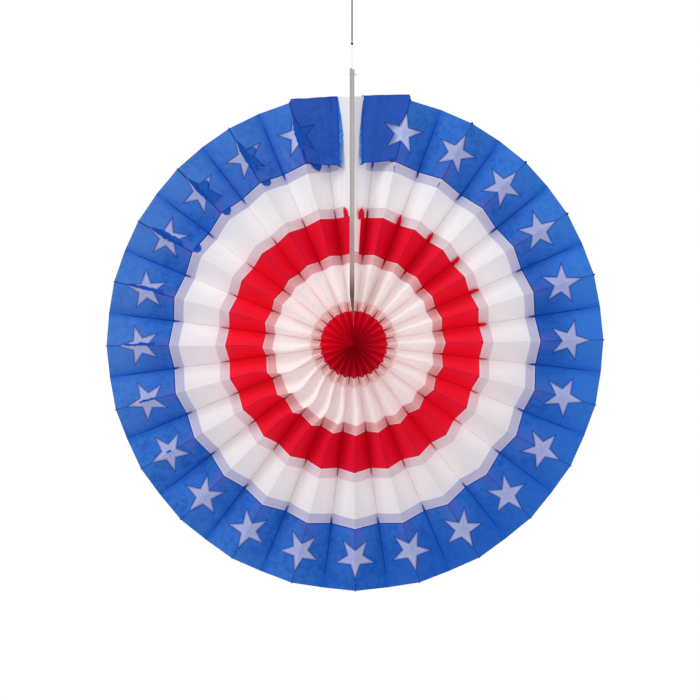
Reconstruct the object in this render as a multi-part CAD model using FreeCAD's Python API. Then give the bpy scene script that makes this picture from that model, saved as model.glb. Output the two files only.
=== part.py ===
import FreeCAD, Part
import math
import os

# Paper fan medallion: a pleated tissue rosette with coloured rings, two end
# cards that meet at the top seam, and a thread and cord to hang it by.
# Frame: the fan's disc stands in the XZ plane and faces -Y, +Z is up, and the
# origin is inside the top of the hanging loop. The cards, the thread and the
# cord hang at X = 0; the disc's own centre is a little to the right of them.

# Driving dimensions, in millimetres and degrees

# Pleated fan: two pleats to each forward fold
FAN_RADIUS = 317.5
RIM_DEPTH = 29.4
PLEAT_PAIRS = 24
SEAM_PLEAT_ANGLE = 6.95
SEAM_ANGLE = 90.7
FAN_CENTRE_X = 3.8
CENTRE_HOLE_RADIUS = 8.0

# Longest stretch of a fold between two points of a sheet
STATION_STEP = 40.0

# Paper layers
WHITE_THICKNESS = 0.10
COLOUR_THICKNESS = 0.07
LAYER_GAP = 0.02

# Coloured strips: the rear ones reach past the front ones and shine through
BLUE_RING_WIDTH = 82.2
RED_RING_INNER_RADIUS = 115.3
RED_RING_WIDTH = 48.0
RED_CENTRE_RADIUS = 42.7
REAR_STRIP_MARGIN = 12.5

# Stars cut through the front blue ring, one on each forward fold
STAR_BELOW_RIM = 44.2
STAR_TIP_RADIUS = 26.5
STAR_NOTCH_RADIUS = 10.1
STAR_POINTS = 5

# End cards at the seam
CARD_THICKNESS = 2.4
CARD_GAP = 1.0
CARD_BOTTOM_RADIUS = 70.0
CARD_ABOVE_RIM = 34.5
CARD_SHEET_CLEARANCE = 0.1
SHEET_BELOW_CARD_FOOT = 1.0
FOLD_TO_CARD_EDGE = 1.0

# Thread through the cards, and up from them to the cord
THREAD_DIAMETER = 0.8
THREAD_HOLE_DIAMETER = 1.4
THREAD_HOLE_BELOW_TOP = 9.0
THREAD_ABOVE_CARDS = 28.0
KNOT_DIAMETER = 2.8
KNOT_CLEARANCE = 0.1

# Tie round the inner edges of the pleats
TIE_DIAMETER = 0.8
TIE_CLEARANCE = 0.1

# Hanging cord, its knots and its loop
CORD_DIAMETER = 1.8
CORD_KNOT_DIAMETER = 4.0
CORD_STRAIGHT_LENGTH = 68.0
LOOP_KNOT_DIAMETER = 6.4
LOOP_KNOT_BORE_CLEARANCE = 0.05
LOOP_INSIDE_HEIGHT = 32.4

# Sizes that follow from the driving ones

PLEAT_COUNT = 2 * PLEAT_PAIRS
BLUE_RING_INNER_RADIUS = FAN_RADIUS - BLUE_RING_WIDTH
RED_RING_OUTER_RADIUS = RED_RING_INNER_RADIUS + RED_RING_WIDTH
STAR_CENTRE_RADIUS = FAN_RADIUS - STAR_BELOW_RIM
CARD_TOP_RADIUS = FAN_RADIUS + CARD_ABOVE_RIM
CORD_KNOT_HEIGHT = CARD_TOP_RADIUS + THREAD_ABOVE_CARDS + CORD_KNOT_DIAMETER / 2
LOOP_KNOT_HEIGHT = CORD_KNOT_HEIGHT + CORD_STRAIGHT_LENGTH
FAN_CENTRE_Z = -(LOOP_KNOT_HEIGHT + LOOP_INSIDE_HEIGHT)


# Folds and stations of the pleated sheets

def fold_pitch():
    """Angle of one pleat away from the seam."""
    return (360 - 4 * SEAM_PLEAT_ANGLE) / (PLEAT_COUNT - 4)


def fold_angle(fold):
    """Angle of a fold line, counted round from the seam, 0 to PLEAT_COUNT."""
    if fold <= 2:
        return SEAM_ANGLE + fold * SEAM_PLEAT_ANGLE
    if fold >= PLEAT_COUNT - 2:
        return SEAM_ANGLE + 360 - (PLEAT_COUNT - fold) * SEAM_PLEAT_ANGLE
    return SEAM_ANGLE + 2 * SEAM_PLEAT_ANGLE + (fold - 2) * fold_pitch()


def pleat_chord(radius):
    """Distance between neighbouring folds, seen from the front."""
    return 2 * radius * math.sin(math.radians(fold_pitch() / 2))


PLEAT_WIDTH = math.hypot(pleat_chord(FAN_RADIUS), RIM_DEPTH)
CARD_DEPTH = PLEAT_WIDTH


def steepness(radius):
    """How much longer a pleat is than its chord."""
    return PLEAT_WIDTH / pleat_chord(radius)


def half_depth(radius):
    """Distance of the white sheet's folds from the middle plane of the fan."""
    envelope = math.sqrt(PLEAT_WIDTH ** 2 - pleat_chord(radius) ** 2) / 2
    layers = WHITE_THICKNESS / 2 + LAYER_GAP + COLOUR_THICKNESS
    return envelope - layers * steepness(radius)


def seam_card_face(side):
    """X of the outer face of the card on one side: -1 is left, +1 is right."""
    return side * (CARD_GAP / 2 + CARD_THICKNESS)


def card_foot_station():
    """Radius just under the cards, where the sheet leaves their faces."""
    return CARD_BOTTOM_RADIUS - SHEET_BELOW_CARD_FOOT


def seam_edge_point(fold, radius):
    """Edge of the sheet that is glued along the front edge of a card."""
    side = -1 if fold == 0 else 1
    edge_x = seam_card_face(side) + side * CARD_SHEET_CLEARANCE
    card_share = min(1, radius / card_foot_station())
    y = -(CARD_DEPTH / 2 - FOLD_TO_CARD_EDGE)
    x = FAN_CENTRE_X + (edge_x - FAN_CENTRE_X) * card_share
    return FreeCAD.Vector(x, y, FAN_CENTRE_Z + radius)


def fold_point(fold, radius):
    """Middle of the white sheet at one fold line and radius."""
    if fold in (0, PLEAT_COUNT):
        return seam_edge_point(fold, radius)
    if fold != int(fold):
        seam_fold = 0 if fold < 1 else PLEAT_COUNT
        return (fold_point(seam_fold, radius) + fold_point(2 * fold - seam_fold, radius)) * 0.5
    angle = math.radians(fold_angle(fold))
    forward = -1 if fold % 2 == 0 else 1
    x = FAN_CENTRE_X + radius * math.cos(angle)
    z = FAN_CENTRE_Z + radius * math.sin(angle)
    return FreeCAD.Vector(x, forward * half_depth(radius), z)


def stations():
    """All radii at which the sheets have points, from the hole to the rim."""
    edges = sorted({
        CENTRE_HOLE_RADIUS, RED_CENTRE_RADIUS, RED_CENTRE_RADIUS + REAR_STRIP_MARGIN,
        card_foot_station(), RED_RING_INNER_RADIUS - REAR_STRIP_MARGIN, RED_RING_INNER_RADIUS,
        RED_RING_OUTER_RADIUS, RED_RING_OUTER_RADIUS + REAR_STRIP_MARGIN,
        BLUE_RING_INNER_RADIUS - REAR_STRIP_MARGIN, BLUE_RING_INNER_RADIUS, FAN_RADIUS})
    radii = [edges[0]]
    for low, high in zip(edges, edges[1:]):
        steps = math.ceil((high - low) / STATION_STEP)
        radii += [low + (high - low) * step / steps for step in range(1, steps + 1)]
    return radii


# Pleated sheets

def outward_solid(shell):
    """Solid from a closed shell, with its faces pointing outwards."""
    solid = Part.makeSolid(Part.Shell(shell.Faces))
    if solid.Volume < 0:
        solid.reverse()
    return solid


def pleated_sheet(inner, outer, folds, offset, thickness):
    """Closed sheet between two radii; offset is square to the paper, - in front."""
    radii = [radius for radius in stations() if inner - 1e-6 <= radius <= outer + 1e-6]
    points = []
    for fold in folds:
        for radius in radii:
            for face in (-1, 1):
                shift = (offset + face * thickness / 2) * steepness(radius)
                points.append(fold_point(fold, radius) + FreeCAD.Vector(0, shift, 0))

    facets = []

    def add_quad(*corners):
        """Two triangles on corners given as (fold, station, face) numbers."""
        a, b, c, d = [(fold * len(radii) + station) * 2 + face for fold, station, face in corners]
        facets.append((a, b, c))
        facets.append((a, c, d))

    last_fold = len(folds) - 1
    last = len(radii) - 1
    for f in range(last_fold):
        for s in range(last):
            corners = [(f, s), (f + 1, s), (f + 1, s + 1), (f, s + 1)]
            if int(folds[f]) % 2:
                corners = corners[1:] + corners[:1]
            add_quad(*[(fold, station, 0) for fold, station in corners])
            back = [corners[0], corners[3], corners[2], corners[1]]
            add_quad(*[(fold, station, 1) for fold, station in back])
        add_quad((f, 0, 0), (f, 0, 1), (f + 1, 0, 1), (f + 1, 0, 0))
        add_quad((f + 1, last, 0), (f + 1, last, 1), (f, last, 1), (f, last, 0))
    for s in range(last):
        add_quad((0, s + 1, 0), (0, s + 1, 1), (0, s, 1), (0, s, 0))
        add_quad((last_fold, s, 0), (last_fold, s, 1), (last_fold, s + 1, 1), (last_fold, s + 1, 0))
    shell = Part.Shape()
    shell.makeShapeFromMesh((points, facets), 1e-5)
    return outward_solid(shell)


def white_folds():
    """Fold lines of the white sheet, with one in the middle of each end pleat."""
    return [0, 0.5] + list(range(1, PLEAT_COUNT)) + [PLEAT_COUNT - 0.5, PLEAT_COUNT]


def white_pleated_fan():
    """The white sheet that every coloured strip is glued to."""
    return pleated_sheet(CENTRE_HOLE_RADIUS, FAN_RADIUS, white_folds(), 0, WHITE_THICKNESS)


def colour_strip(inner, outer, side):
    """Coloured strip on the front (-1) or rear (+1) of the white sheet."""
    offset = side * (WHITE_THICKNESS / 2 + LAYER_GAP + COLOUR_THICKNESS / 2)
    return pleated_sheet(inner, outer, white_folds()[1:-1], offset, COLOUR_THICKNESS)


def star_punch(fold):
    """Straight punch of star section through the whole depth of the fan."""
    direction = math.radians(fold_angle(fold))
    centre_x = FAN_CENTRE_X + STAR_CENTRE_RADIUS * math.cos(direction)
    centre_z = FAN_CENTRE_Z + STAR_CENTRE_RADIUS * math.sin(direction)
    corners = []
    for corner in range(2 * STAR_POINTS):
        radius = STAR_NOTCH_RADIUS if corner % 2 else STAR_TIP_RADIUS
        angle = direction + math.pi * corner / STAR_POINTS
        corners.append(FreeCAD.Vector(
            centre_x + radius * math.cos(angle), -PLEAT_WIDTH, centre_z + radius * math.sin(angle)))
    face = Part.Face(Part.makePolygon(corners + corners[:1]))
    return face.extrude(FreeCAD.Vector(0, 2 * PLEAT_WIDTH, 0))


def blue_star_ring():
    """Front blue strip with a star-shaped hole on each forward fold."""
    ring = colour_strip(BLUE_RING_INNER_RADIUS, FAN_RADIUS, -1)
    punches = [star_punch(fold) for fold in range(2, PLEAT_COUNT, 2)]
    return ring.cut(Part.makeCompound(punches))


def centre_tie():
    """Ring of thread that gathers the inner edges of the pleats."""
    ring_radius = CENTRE_HOLE_RADIUS - TIE_CLEARANCE - TIE_DIAMETER / 2
    return Part.makeTorus(ring_radius, TIE_DIAMETER / 2,
                          FreeCAD.Vector(FAN_CENTRE_X, 0, FAN_CENTRE_Z), FreeCAD.Vector(0, 1, 0))


# End cards and the threads that hold them

def thread_hole_z():
    """Height of the holes near the top of the cards."""
    return FAN_CENTRE_Z + CARD_TOP_RADIUS - THREAD_HOLE_BELOW_TOP


def end_card(side):
    """Stiff card strip that stands edge-on at the seam, with its thread hole."""
    outer_x = seam_card_face(side)
    low_x = outer_x if side < 0 else outer_x - CARD_THICKNESS
    corner = FreeCAD.Vector(low_x, -CARD_DEPTH / 2, FAN_CENTRE_Z + CARD_BOTTOM_RADIUS)
    card = Part.makeBox(CARD_THICKNESS, CARD_DEPTH, CARD_TOP_RADIUS - CARD_BOTTOM_RADIUS, corner)
    hole = Part.makeCylinder(THREAD_HOLE_DIAMETER / 2, CARD_THICKNESS,
                             FreeCAD.Vector(low_x, 0, thread_hole_z()), FreeCAD.Vector(1, 0, 0))
    return card.cut(hole)


def knot(x, z, diameter):
    """Round knot of thread or cord."""
    return Part.makeSphere(diameter / 2, FreeCAD.Vector(x, 0, z))


def card_thread():
    """Thread straight through both cards, with a stopper knot at each end."""
    reach = KNOT_CLEARANCE + KNOT_DIAMETER / 2
    left = seam_card_face(-1) - reach
    right = seam_card_face(1) + reach
    thread = Part.makeCylinder(THREAD_DIAMETER / 2, right - left,
                               FreeCAD.Vector(left, 0, thread_hole_z()), FreeCAD.Vector(1, 0, 0))
    return thread.fuse([knot(x, thread_hole_z(), KNOT_DIAMETER) for x in (left, right)])


def hanging_thread():
    """Taut thread from the thread through the cards, up between them to the cord's knot."""
    bottom = thread_hole_z() + THREAD_DIAMETER / 2
    top = FAN_CENTRE_Z + CORD_KNOT_HEIGHT - CORD_KNOT_DIAMETER / 2
    return Part.makeCylinder(THREAD_DIAMETER / 2, top - bottom, FreeCAD.Vector(0, 0, bottom))


# Hanging cord

def rounded_route(points):
    """Straight runs through points, with tangent arcs at the points between."""
    edges = []
    radii = []
    start = points[0]
    for before, corner, after in zip(points, points[1:], points[2:]):
        into = (corner - before).normalize()
        out = (after - corner).normalize()
        turn = into.getAngle(out)
        setback = 0.45 * min((corner - before).Length, (after - corner).Length)
        radii.append(setback / math.tan(turn / 2))
        arc_start = corner - into * setback
        arc_end = corner + out * setback
        inward = (out - into).normalize()
        arc_middle = corner + inward * (radii[-1] / math.cos(turn / 2) - radii[-1])
        edges.append(Part.LineSegment(start, arc_start).toShape())
        edges.append(Part.Arc(arc_start, arc_middle, arc_end).toShape())
        start = arc_end
    edges.append(Part.LineSegment(start, points[-1]).toShape())
    return edges, radii


def tube_on_path(edges, diameter):
    """Round tube along a path of runs and arcs."""
    direction = edges[0].tangentAt(edges[0].FirstParameter)
    section = Part.Wire(Part.Circle(edges[0].Vertexes[0].Point, direction, diameter / 2).toShape())
    return Part.Wire(edges).makePipeShell([section], True, False)


def cord_route():
    """Points of the hanging cord: straight up, round its loop, back to the loop's knot."""
    knot_z = FAN_CENTRE_Z + LOOP_KNOT_HEIGHT
    start_z = FAN_CENTRE_Z + CORD_KNOT_HEIGHT + CORD_KNOT_DIAMETER / 2
    route = [(0, start_z), (0, knot_z + 2), (7.5, knot_z + 14), (8.5, knot_z + 27),
             (0, knot_z + 35.5), (-8.5, knot_z + 27), (-7.5, knot_z + 14), (-1.9, knot_z + 2.8)]
    return [FreeCAD.Vector(x, 0, z) for x, z in route]


def hanging_cord():
    """Cord that carries the fan, with a loop at its top."""
    edges, radii = rounded_route(cord_route())
    solid = tube_on_path(edges, CORD_DIAMETER)
    length = sum(edge.Length for edge in edges)
    print("hanging cord bend radii", [round(radius, 1) for radius in radii])
    print("hanging cord length", round(length, 1), "volume", round(solid.Volume, 2),
          "section times length", round(length * math.pi * CORD_DIAMETER ** 2 / 4, 2))
    return solid


def cord_knot():
    """Knot that joins the cord's lower end to the thread."""
    return knot(0, FAN_CENTRE_Z + CORD_KNOT_HEIGHT, CORD_KNOT_DIAMETER)


def loop_knot():
    """Knot that closes the cord's loop; the cord runs up through it."""
    centre_z = FAN_CENTRE_Z + LOOP_KNOT_HEIGHT
    bore = tube_on_path(rounded_route(cord_route())[0], CORD_DIAMETER + 2 * LOOP_KNOT_BORE_CLEARANCE)
    return knot(0, centre_z, LOOP_KNOT_DIAMETER).cut(bore)


# All pieces, by node name

def build_parts():
    """Every solid of the fan, in the order of the list of pieces."""
    blue_rear_inner = BLUE_RING_INNER_RADIUS - REAR_STRIP_MARGIN
    red_rear_inner = RED_RING_INNER_RADIUS - REAR_STRIP_MARGIN
    red_rear_outer = RED_RING_OUTER_RADIUS + REAR_STRIP_MARGIN
    centre_rear = RED_CENTRE_RADIUS + REAR_STRIP_MARGIN
    return {
        "white_pleated_fan": white_pleated_fan(),
        "blue_star_ring_front": blue_star_ring(),
        "blue_ring_rear": colour_strip(blue_rear_inner, FAN_RADIUS, 1),
        "red_ring_front": colour_strip(RED_RING_INNER_RADIUS, RED_RING_OUTER_RADIUS, -1),
        "red_ring_rear": colour_strip(red_rear_inner, red_rear_outer, 1),
        "red_centre_front": colour_strip(CENTRE_HOLE_RADIUS, RED_CENTRE_RADIUS, -1),
        "red_centre_rear": colour_strip(CENTRE_HOLE_RADIUS, centre_rear, 1),
        "centre_tie": centre_tie(),
        "end_card_left": end_card(-1),
        "end_card_right": end_card(1),
        "card_thread": card_thread(),
        "hanging_thread": hanging_thread(),
        "cord_knot": cord_knot(),
        "hanging_cord": hanging_cord(),
        "loop_knot": loop_knot(),
    }


def write_parts():
    """One file for each node, with its sizes printed."""
    os.makedirs("parts", exist_ok=True)
    for name, shape in build_parts().items():
        shape.exportStep("parts/" + name + ".step")
        box = shape.BoundBox
        print(name, "solids", len(shape.Solids), "valid", shape.isValid(),
              "volume", round(shape.Volume, 2), "box",
              [round(v, 1) for v in (box.XMin, box.XMax, box.YMin, box.YMax, box.ZMin, box.ZMax)])


write_parts()
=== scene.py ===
import math

import bmesh
import bpy
from mathutils import Matrix, Vector, noise


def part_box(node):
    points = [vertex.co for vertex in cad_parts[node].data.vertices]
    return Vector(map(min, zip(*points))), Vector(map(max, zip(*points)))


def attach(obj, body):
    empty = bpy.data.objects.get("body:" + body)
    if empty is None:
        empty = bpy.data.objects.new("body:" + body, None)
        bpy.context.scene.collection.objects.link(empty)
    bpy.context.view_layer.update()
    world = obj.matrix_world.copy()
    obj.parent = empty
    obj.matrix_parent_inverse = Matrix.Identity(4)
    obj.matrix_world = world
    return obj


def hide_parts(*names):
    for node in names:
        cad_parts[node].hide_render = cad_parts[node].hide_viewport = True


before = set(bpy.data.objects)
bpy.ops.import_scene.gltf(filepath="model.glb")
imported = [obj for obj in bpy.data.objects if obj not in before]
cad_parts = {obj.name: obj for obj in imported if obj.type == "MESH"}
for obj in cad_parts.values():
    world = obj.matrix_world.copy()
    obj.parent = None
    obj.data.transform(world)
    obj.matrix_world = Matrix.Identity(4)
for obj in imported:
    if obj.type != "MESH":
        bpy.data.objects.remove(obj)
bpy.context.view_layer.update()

bl_info = {
    "name": "Paper fan medallion",
    "version": (1, 0, 0),
    "blender": (4, 5, 0),
    "location": "3D View > Sidebar > Paper fan",
    "description": "Pleated tissue fan with coloured strips, cut stars, cards and a hanging cord",
    "category": "Add Mesh",
}

MM = 0.001


def middle_of(node):
    """Middle of a CAD node's box."""
    low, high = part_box(node)
    return (Vector(low) + Vector(high)) / 2


FAN_CENTRE = middle_of("centre_tie")
THREAD_HOLE = middle_of("card_thread")
CORD_KNOT = middle_of("cord_knot")
LOOP_KNOT = middle_of("loop_knot")

# Routes of the thread and the cord, in metres
THREAD_ROUTE = [
    (0, 0, -0.1390),
    (0, 0, -0.1268),
    (0, 0, -0.1145),
    (0, 0, -0.1023),
]
CORD_ROUTE = [
    (0, 0, -0.0984),
    (0, 0, -0.0874),
    (0, 0, -0.0414),
    (0, 0, -0.0304),
    (0.0075, 0, -0.0184),
    (0.0085, 0, -0.0054),
    (0, 0, 0.0031),
    (-0.0085, 0, -0.0054),
    (-0.0075, 0, -0.0184),
    (-0.0019, 0, -0.0296),
]

# Pleats on each side of the seam that have an angle of their own
SEAM_PLEATS = 2
# Direction from which the folds drift both ways round the rim
DRIFT_START = math.radians(40)
# Radius under which the scallops, the lean and the sway fade towards the gathered middle
CALM_RADIUS = 0.04
# Where the deep pleats at the lower left lean aside, and how far that spreads
LEAN_DIRECTION, LEAN_SPREAD = math.radians(220), math.radians(46)
LEAN_RADIUS, LEAN_REACH = 0.090, 0.027
# Direction of the key light, seen from the fan
KEY_DIRECTION = (-0.54, -0.67, 0.50)


# Sizes and colours that a user would change

class PaperFanSizes(bpy.types.PropertyGroup):
    """Sizes of the fan and of its strips."""

    def length(label, description, millimetres):
        """A length that the user can change."""
        return bpy.props.FloatProperty(name=label, description=description, min=0, unit="LENGTH",
                                       default=millimetres * MM, precision=5)

    def degrees(label, description, value):
        """An angle that the user can change."""
        return bpy.props.FloatProperty(name=label, description=description,
                                       default=math.radians(value), subtype="ANGLE")

    fan_radius: length("Fan radius", "Radius of the outer rim", 317.5)
    centre_hole: length("Centre hole", "Radius at which the gathered pleats end", 0.1)
    pleat_width: length("Pleat width", "Width of one pleat between its folds", 51.09)
    folds: bpy.props.IntProperty(name="Pleats", description="Pleats round the fan", default=48)
    seam_angle: degrees("Seam angle", "Direction of the seam between the end cards", 90.7)
    seam_pleat_angle: degrees("Seam pleat angle", "Angle of each pleat beside the seam", 6.95)
    fold_drift: degrees("Fold drift", "How far the folds drift round the rim", 0.76)
    gather_shift: bpy.props.FloatVectorProperty(
        name="Gather shift", description="Shift of the gathered middle from the rim's centre",
        default=(-1.9 * MM, 0, -1.9 * MM), unit="LENGTH", subtype="TRANSLATION")
    lean: length("Lean", "Sideways lean of the deep pleats on the left", 15.0)
    sway: length("Sway", "Small uneven shifts of the folds", 1.3)
    crumple: length("Crumple", "Small waves of the paper", 0.5)
    scallop: length("Scallop", "How far the cut edges reach out at the forward folds", 1.0)
    rim_scallop: length("Rim scallop", "How far the rim lies back at the forward folds", 1.0)
    paper: length("Paper thickness", "Thickness of one tissue, measured square to the fan", 0.06)
    layer_gap: length("Layer gap", "Distance between glued layers", 0.22)

    blue_ring_inner: length("Blue ring, inner", "Inner radius of the front blue strip", 235.3)
    blue_rear_inner: length("Blue rear ring, inner", "Inner radius of the rear blue strip", 222.8)
    red_ring_inner: length("Red ring, inner", "Inner radius of the front red strip", 115.3)
    red_ring_outer: length("Red ring, outer", "Outer radius of the front red strip", 163.3)
    red_centre_outer: length("Red centre", "Outer radius of the red centre", 42.7)
    rear_margin: length("Rear margin", "How far the rear strips reach past the front ones", 12.5)

    star_centre: length("Star centre", "Radius at which the stars sit", 274.3)
    star_tip: length("Star size", "Radius of a star's points", 25.4)
    star_notch: length("Star notch", "Radius of a star's inner corners", 10.0)

    card_face: length("Card face", "Distance of a card's outer face from the seam", 2.9)
    card_taper: length("Card taper", "Radius under which the cards narrow", 62.0)
    card_end: length("Card end", "Radius at which the cards have narrowed to nothing", 28.0)


class PaperFanColours(bpy.types.PropertyGroup):
    """Colours of the paper, the cards and the cord."""

    def colour(label, description, red, green, blue):
        """A colour that the user can change."""
        return bpy.props.FloatVectorProperty(
            name=label, description=description, default=(red, green, blue), subtype="COLOR",
            size=3, min=0, max=1)

    white: colour("White tissue", "The pleated sheet", 0.85, 0.82, 0.835)
    lavender: colour("Lavender", "White tissue over the rear blue strip", 0.50, 0.49, 0.67)
    rose: colour("Rose", "White tissue over the rear red strips", 0.69, 0.355, 0.37)
    blue: colour("Blue tissue", "The blue strips in the light", 0.008, 0.076, 0.400)
    azure: colour("Azure", "The blue strips where light comes through", 0.038, 0.222, 0.735)
    violet: colour("Violet blue", "Blotches of the blue strips", 0.060, 0.100, 0.460)
    navy: colour("Navy", "Folds and cut edges of the blue strips", 0.010, 0.025, 0.270)
    red: colour("Red tissue", "The red strips turned from the light", 0.700, 0.001, 0.026)
    scarlet: colour("Scarlet", "The red strips in the light", 0.990, 0.034, 0.048)
    maroon: colour("Maroon", "Folds and cut edges of the red strips", 0.380, 0.002, 0.010)
    board: colour("Grey board", "The end cards", 0.40, 0.36, 0.345)
    cord: colour("Cord", "The dark hanging cord", 0.035, 0.034, 0.040)
    thread: colour("Thread", "The white thread", 0.62, 0.61, 0.60)


def sizes_of(context):
    """The fan's sizes, as the user set them."""
    return context.scene.paper_fan_sizes


def colours_of(context):
    """The fan's colours, as the user set them."""
    return context.scene.paper_fan_colours


# Helpers for node trees

def feed(tree, socket, value):
    """Link an output to a socket, or set the socket to a plain value."""
    if isinstance(value, Num):
        value = value.socket
    if isinstance(value, bpy.types.NodeSocket):
        tree.links.new(value, socket)
    else:
        socket.default_value = value


def put(tree, kind, sockets=None, **settings):
    """A new node with its settings, and with its sockets set or linked."""
    node = tree.nodes.new(kind)
    for name, value in settings.items():
        setattr(node, name, value)
    for name, value in (sockets or {}).items():
        feed(tree, node.inputs[name], value)
    return node


class Num:
    """A number in a node tree, so that sums are written as plain arithmetic."""

    def __init__(self, tree, socket):
        self.tree = tree
        self.socket = socket

    def calc(self, operation, *others):
        """Result of a Math node that takes this number and the others."""
        numbers = dict(enumerate((self,) + others))
        node = put(self.tree, "ShaderNodeMath", numbers, operation=operation)
        return Num(self.tree, node.outputs[0])

    def __add__(self, other):
        return self.calc("ADD", other)

    def __sub__(self, other):
        return self.calc("SUBTRACT", other)

    def __mul__(self, other):
        return self.calc("MULTIPLY", other)

    def __truediv__(self, other):
        return self.calc("DIVIDE", other)

    __radd__ = __add__
    __rmul__ = __mul__

    def __rsub__(self, other):
        return self * -1 + other

    def power(self, exponent):
        """The number raised to a power."""
        return self.calc("POWER", exponent)

    def clamped(self, low=0.0, high=1.0):
        """The number, kept between two others."""
        return self.calc("MAXIMUM", low).calc("MINIMUM", high)

    def ramp(self, start, end):
        """Smooth 0 to 1 as the number goes from start to end."""
        node = put(self.tree, "ShaderNodeMapRange", {
            "Value": self, "From Min": start, "From Max": end}, interpolation_type="SMOOTHSTEP")
        return Num(self.tree, node.outputs["Result"])


def hypotenuse(a, b):
    """Length from two sides that stand square to each other."""
    return (a * a + b * b).calc("SQRT")


def parts_of(tree, vector):
    """The three numbers of a vector."""
    node = put(tree, "ShaderNodeSeparateXYZ", {0: vector})
    return [Num(tree, output) for output in node.outputs]


def vector_of(tree, x, y, z):
    """Vector from three numbers."""
    return put(tree, "ShaderNodeCombineXYZ", {0: x, 1: y, 2: z}).outputs[0]

def object_place(tree):
    """Object coordinates of a point of the surface."""
    return tree.nodes.new("ShaderNodeTexCoord").outputs["Object"]


def noise_value(tree, vector, scale, detail=3.0, roughness=0.5):
    """Smooth noise from 0 to 1."""
    node = put(tree, "ShaderNodeTexNoise", {
        "Vector": vector, "Scale": scale, "Detail": detail, "Roughness": roughness})
    return Num(tree, node.outputs[0])


def signed(share):
    """A share from 0 to 1 as a number from -1 to 1."""
    return (share - 0.5) * 2


def most(first, *others):
    """The largest of some numbers."""
    for other in others:
        first = first.calc("MAXIMUM", other)
    return first


SOCKET_KINDS = {int: "NodeSocketInt", float: "NodeSocketFloat", tuple: "NodeSocketVector"}


def new_tree(name, kind, inputs, outputs):
    """A node group with named inputs, given as default values, and named outputs."""
    tree = bpy.data.node_groups.new(name, kind)
    for label, default in inputs.items():
        if isinstance(default, str):
            tree.interface.new_socket(name=label, in_out="INPUT", socket_type=default)
            continue
        socket = tree.interface.new_socket(name=label, in_out="INPUT",
                                           socket_type=SOCKET_KINDS[type(default)])
        socket.default_value = default
    for label, socket_kind in outputs.items():
        tree.interface.new_socket(name=label, in_out="OUTPUT", socket_type=socket_kind)
    entry = tree.nodes.new("NodeGroupInput")
    given = {}
    for label in inputs:
        socket = entry.outputs[label]
        is_number = socket.type in {"VALUE", "INT"}
        given[label] = Num(tree, socket) if is_number else socket
    return tree, given


def geometry_tree(name, inputs):
    """A geometry node group with named inputs, given as default values."""
    return new_tree(name, "GeometryNodeTree", inputs, {"Geometry": "NodeSocketGeometry"})


def finish_tree(tree, results):
    """Lead the results to the outputs of a node group."""
    exit_node = tree.nodes.new("NodeGroupOutput")
    for label, value in results.items():
        feed(tree, exit_node.inputs[label], value)


def new_object(name, data):
    """New object in the scene."""
    obj = bpy.data.objects.new(name, data)
    bpy.context.scene.collection.objects.link(obj)
    return obj


def evaluated_mesh(obj, name):
    """Plain mesh of an object with its modifiers, on a new object; the old one is removed."""
    depsgraph = bpy.context.evaluated_depsgraph_get()
    mesh = bpy.data.meshes.new_from_object(obj.evaluated_get(depsgraph), depsgraph=depsgraph)
    bpy.data.objects.remove(obj)
    if not mesh.polygons:
        raise RuntimeError(name + " came out empty")
    mesh.name = name
    return new_object(name, mesh)


def from_nodes(name, tree, values):
    """Plain mesh object of a geometry node tree, with its inputs set by name."""
    obj = new_object(name + "_nodes", bpy.data.meshes.new(name))
    modifier = obj.modifiers.new(tree.name, "NODES")
    modifier.node_group = tree
    sockets = {item.name: item.identifier for item in tree.interface.items_tree
               if item.item_type == "SOCKET" and item.in_out == "INPUT"}
    for label, value in values.items():
        modifier[sockets[label]] = value
    return evaluated_mesh(obj, name)


def finish_piece(obj, slot, *nodes):
    """The piece rides on the fan and stands for its CAD nodes; the slot is not used."""
    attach(obj, "root")
    if nodes:
        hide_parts(*nodes)


def mesh_object(name, shape, material=None):
    """Object made from a bmesh, which is freed."""
    mesh = bpy.data.meshes.new(name)
    shape.to_mesh(mesh)
    shape.free()
    if material:
        mesh.materials.append(bpy.data.materials[material])
    return new_object(name, mesh)


def cut_out(obj, tool, name):
    """Plain mesh of an object with a closed tool cut out of it."""
    cut = obj.modifiers.new("Cut", "BOOLEAN")
    cut.operation = "DIFFERENCE"
    cut.solver = "EXACT"
    cut.object = tool
    return evaluated_mesh(obj, name)


def slot_of(material):
    """Record slot of a coloured tissue."""
    return "blue_tissue" if "blue" in material.lower() else "red_tissue"


def wobble(x, y, z):
    """Smooth noise from -1 to 1 at a place."""
    return noise.noise(Vector((x, y, z)))


# Where the folds run

def pleat_pitch(folds, seam_pleat_angle):
    """Angle of one pleat away from the seam, for plain numbers and for those of a tree."""
    return (2 * math.pi - 2 * SEAM_PLEATS * seam_pleat_angle) / (folds - 2 * SEAM_PLEATS)


def pitch_of(sizes):
    """Angle of one pleat away from the seam."""
    return pleat_pitch(sizes.folds, sizes.seam_pleat_angle)


def fold_angle(sizes, fold):
    """Direction of a fold at the rim."""
    beside = sizes.seam_pleat_angle
    angle = (sizes.seam_angle + min(fold, SEAM_PLEATS) * beside
             + max(0, min(fold - SEAM_PLEATS, sizes.folds - 2 * SEAM_PLEATS)) * pitch_of(sizes)
             + max(fold - (sizes.folds - SEAM_PLEATS), 0) * beside)
    return angle + sizes.fold_drift * math.sin(angle - DRIFT_START)


def fold_depth(sizes, radius):
    """Distance of the folds from the middle plane of the fan."""
    chord = 2 * radius * math.sin(pitch_of(sizes) / 2)
    return math.sqrt(sizes.pleat_width ** 2 - chord ** 2) / 2


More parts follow.
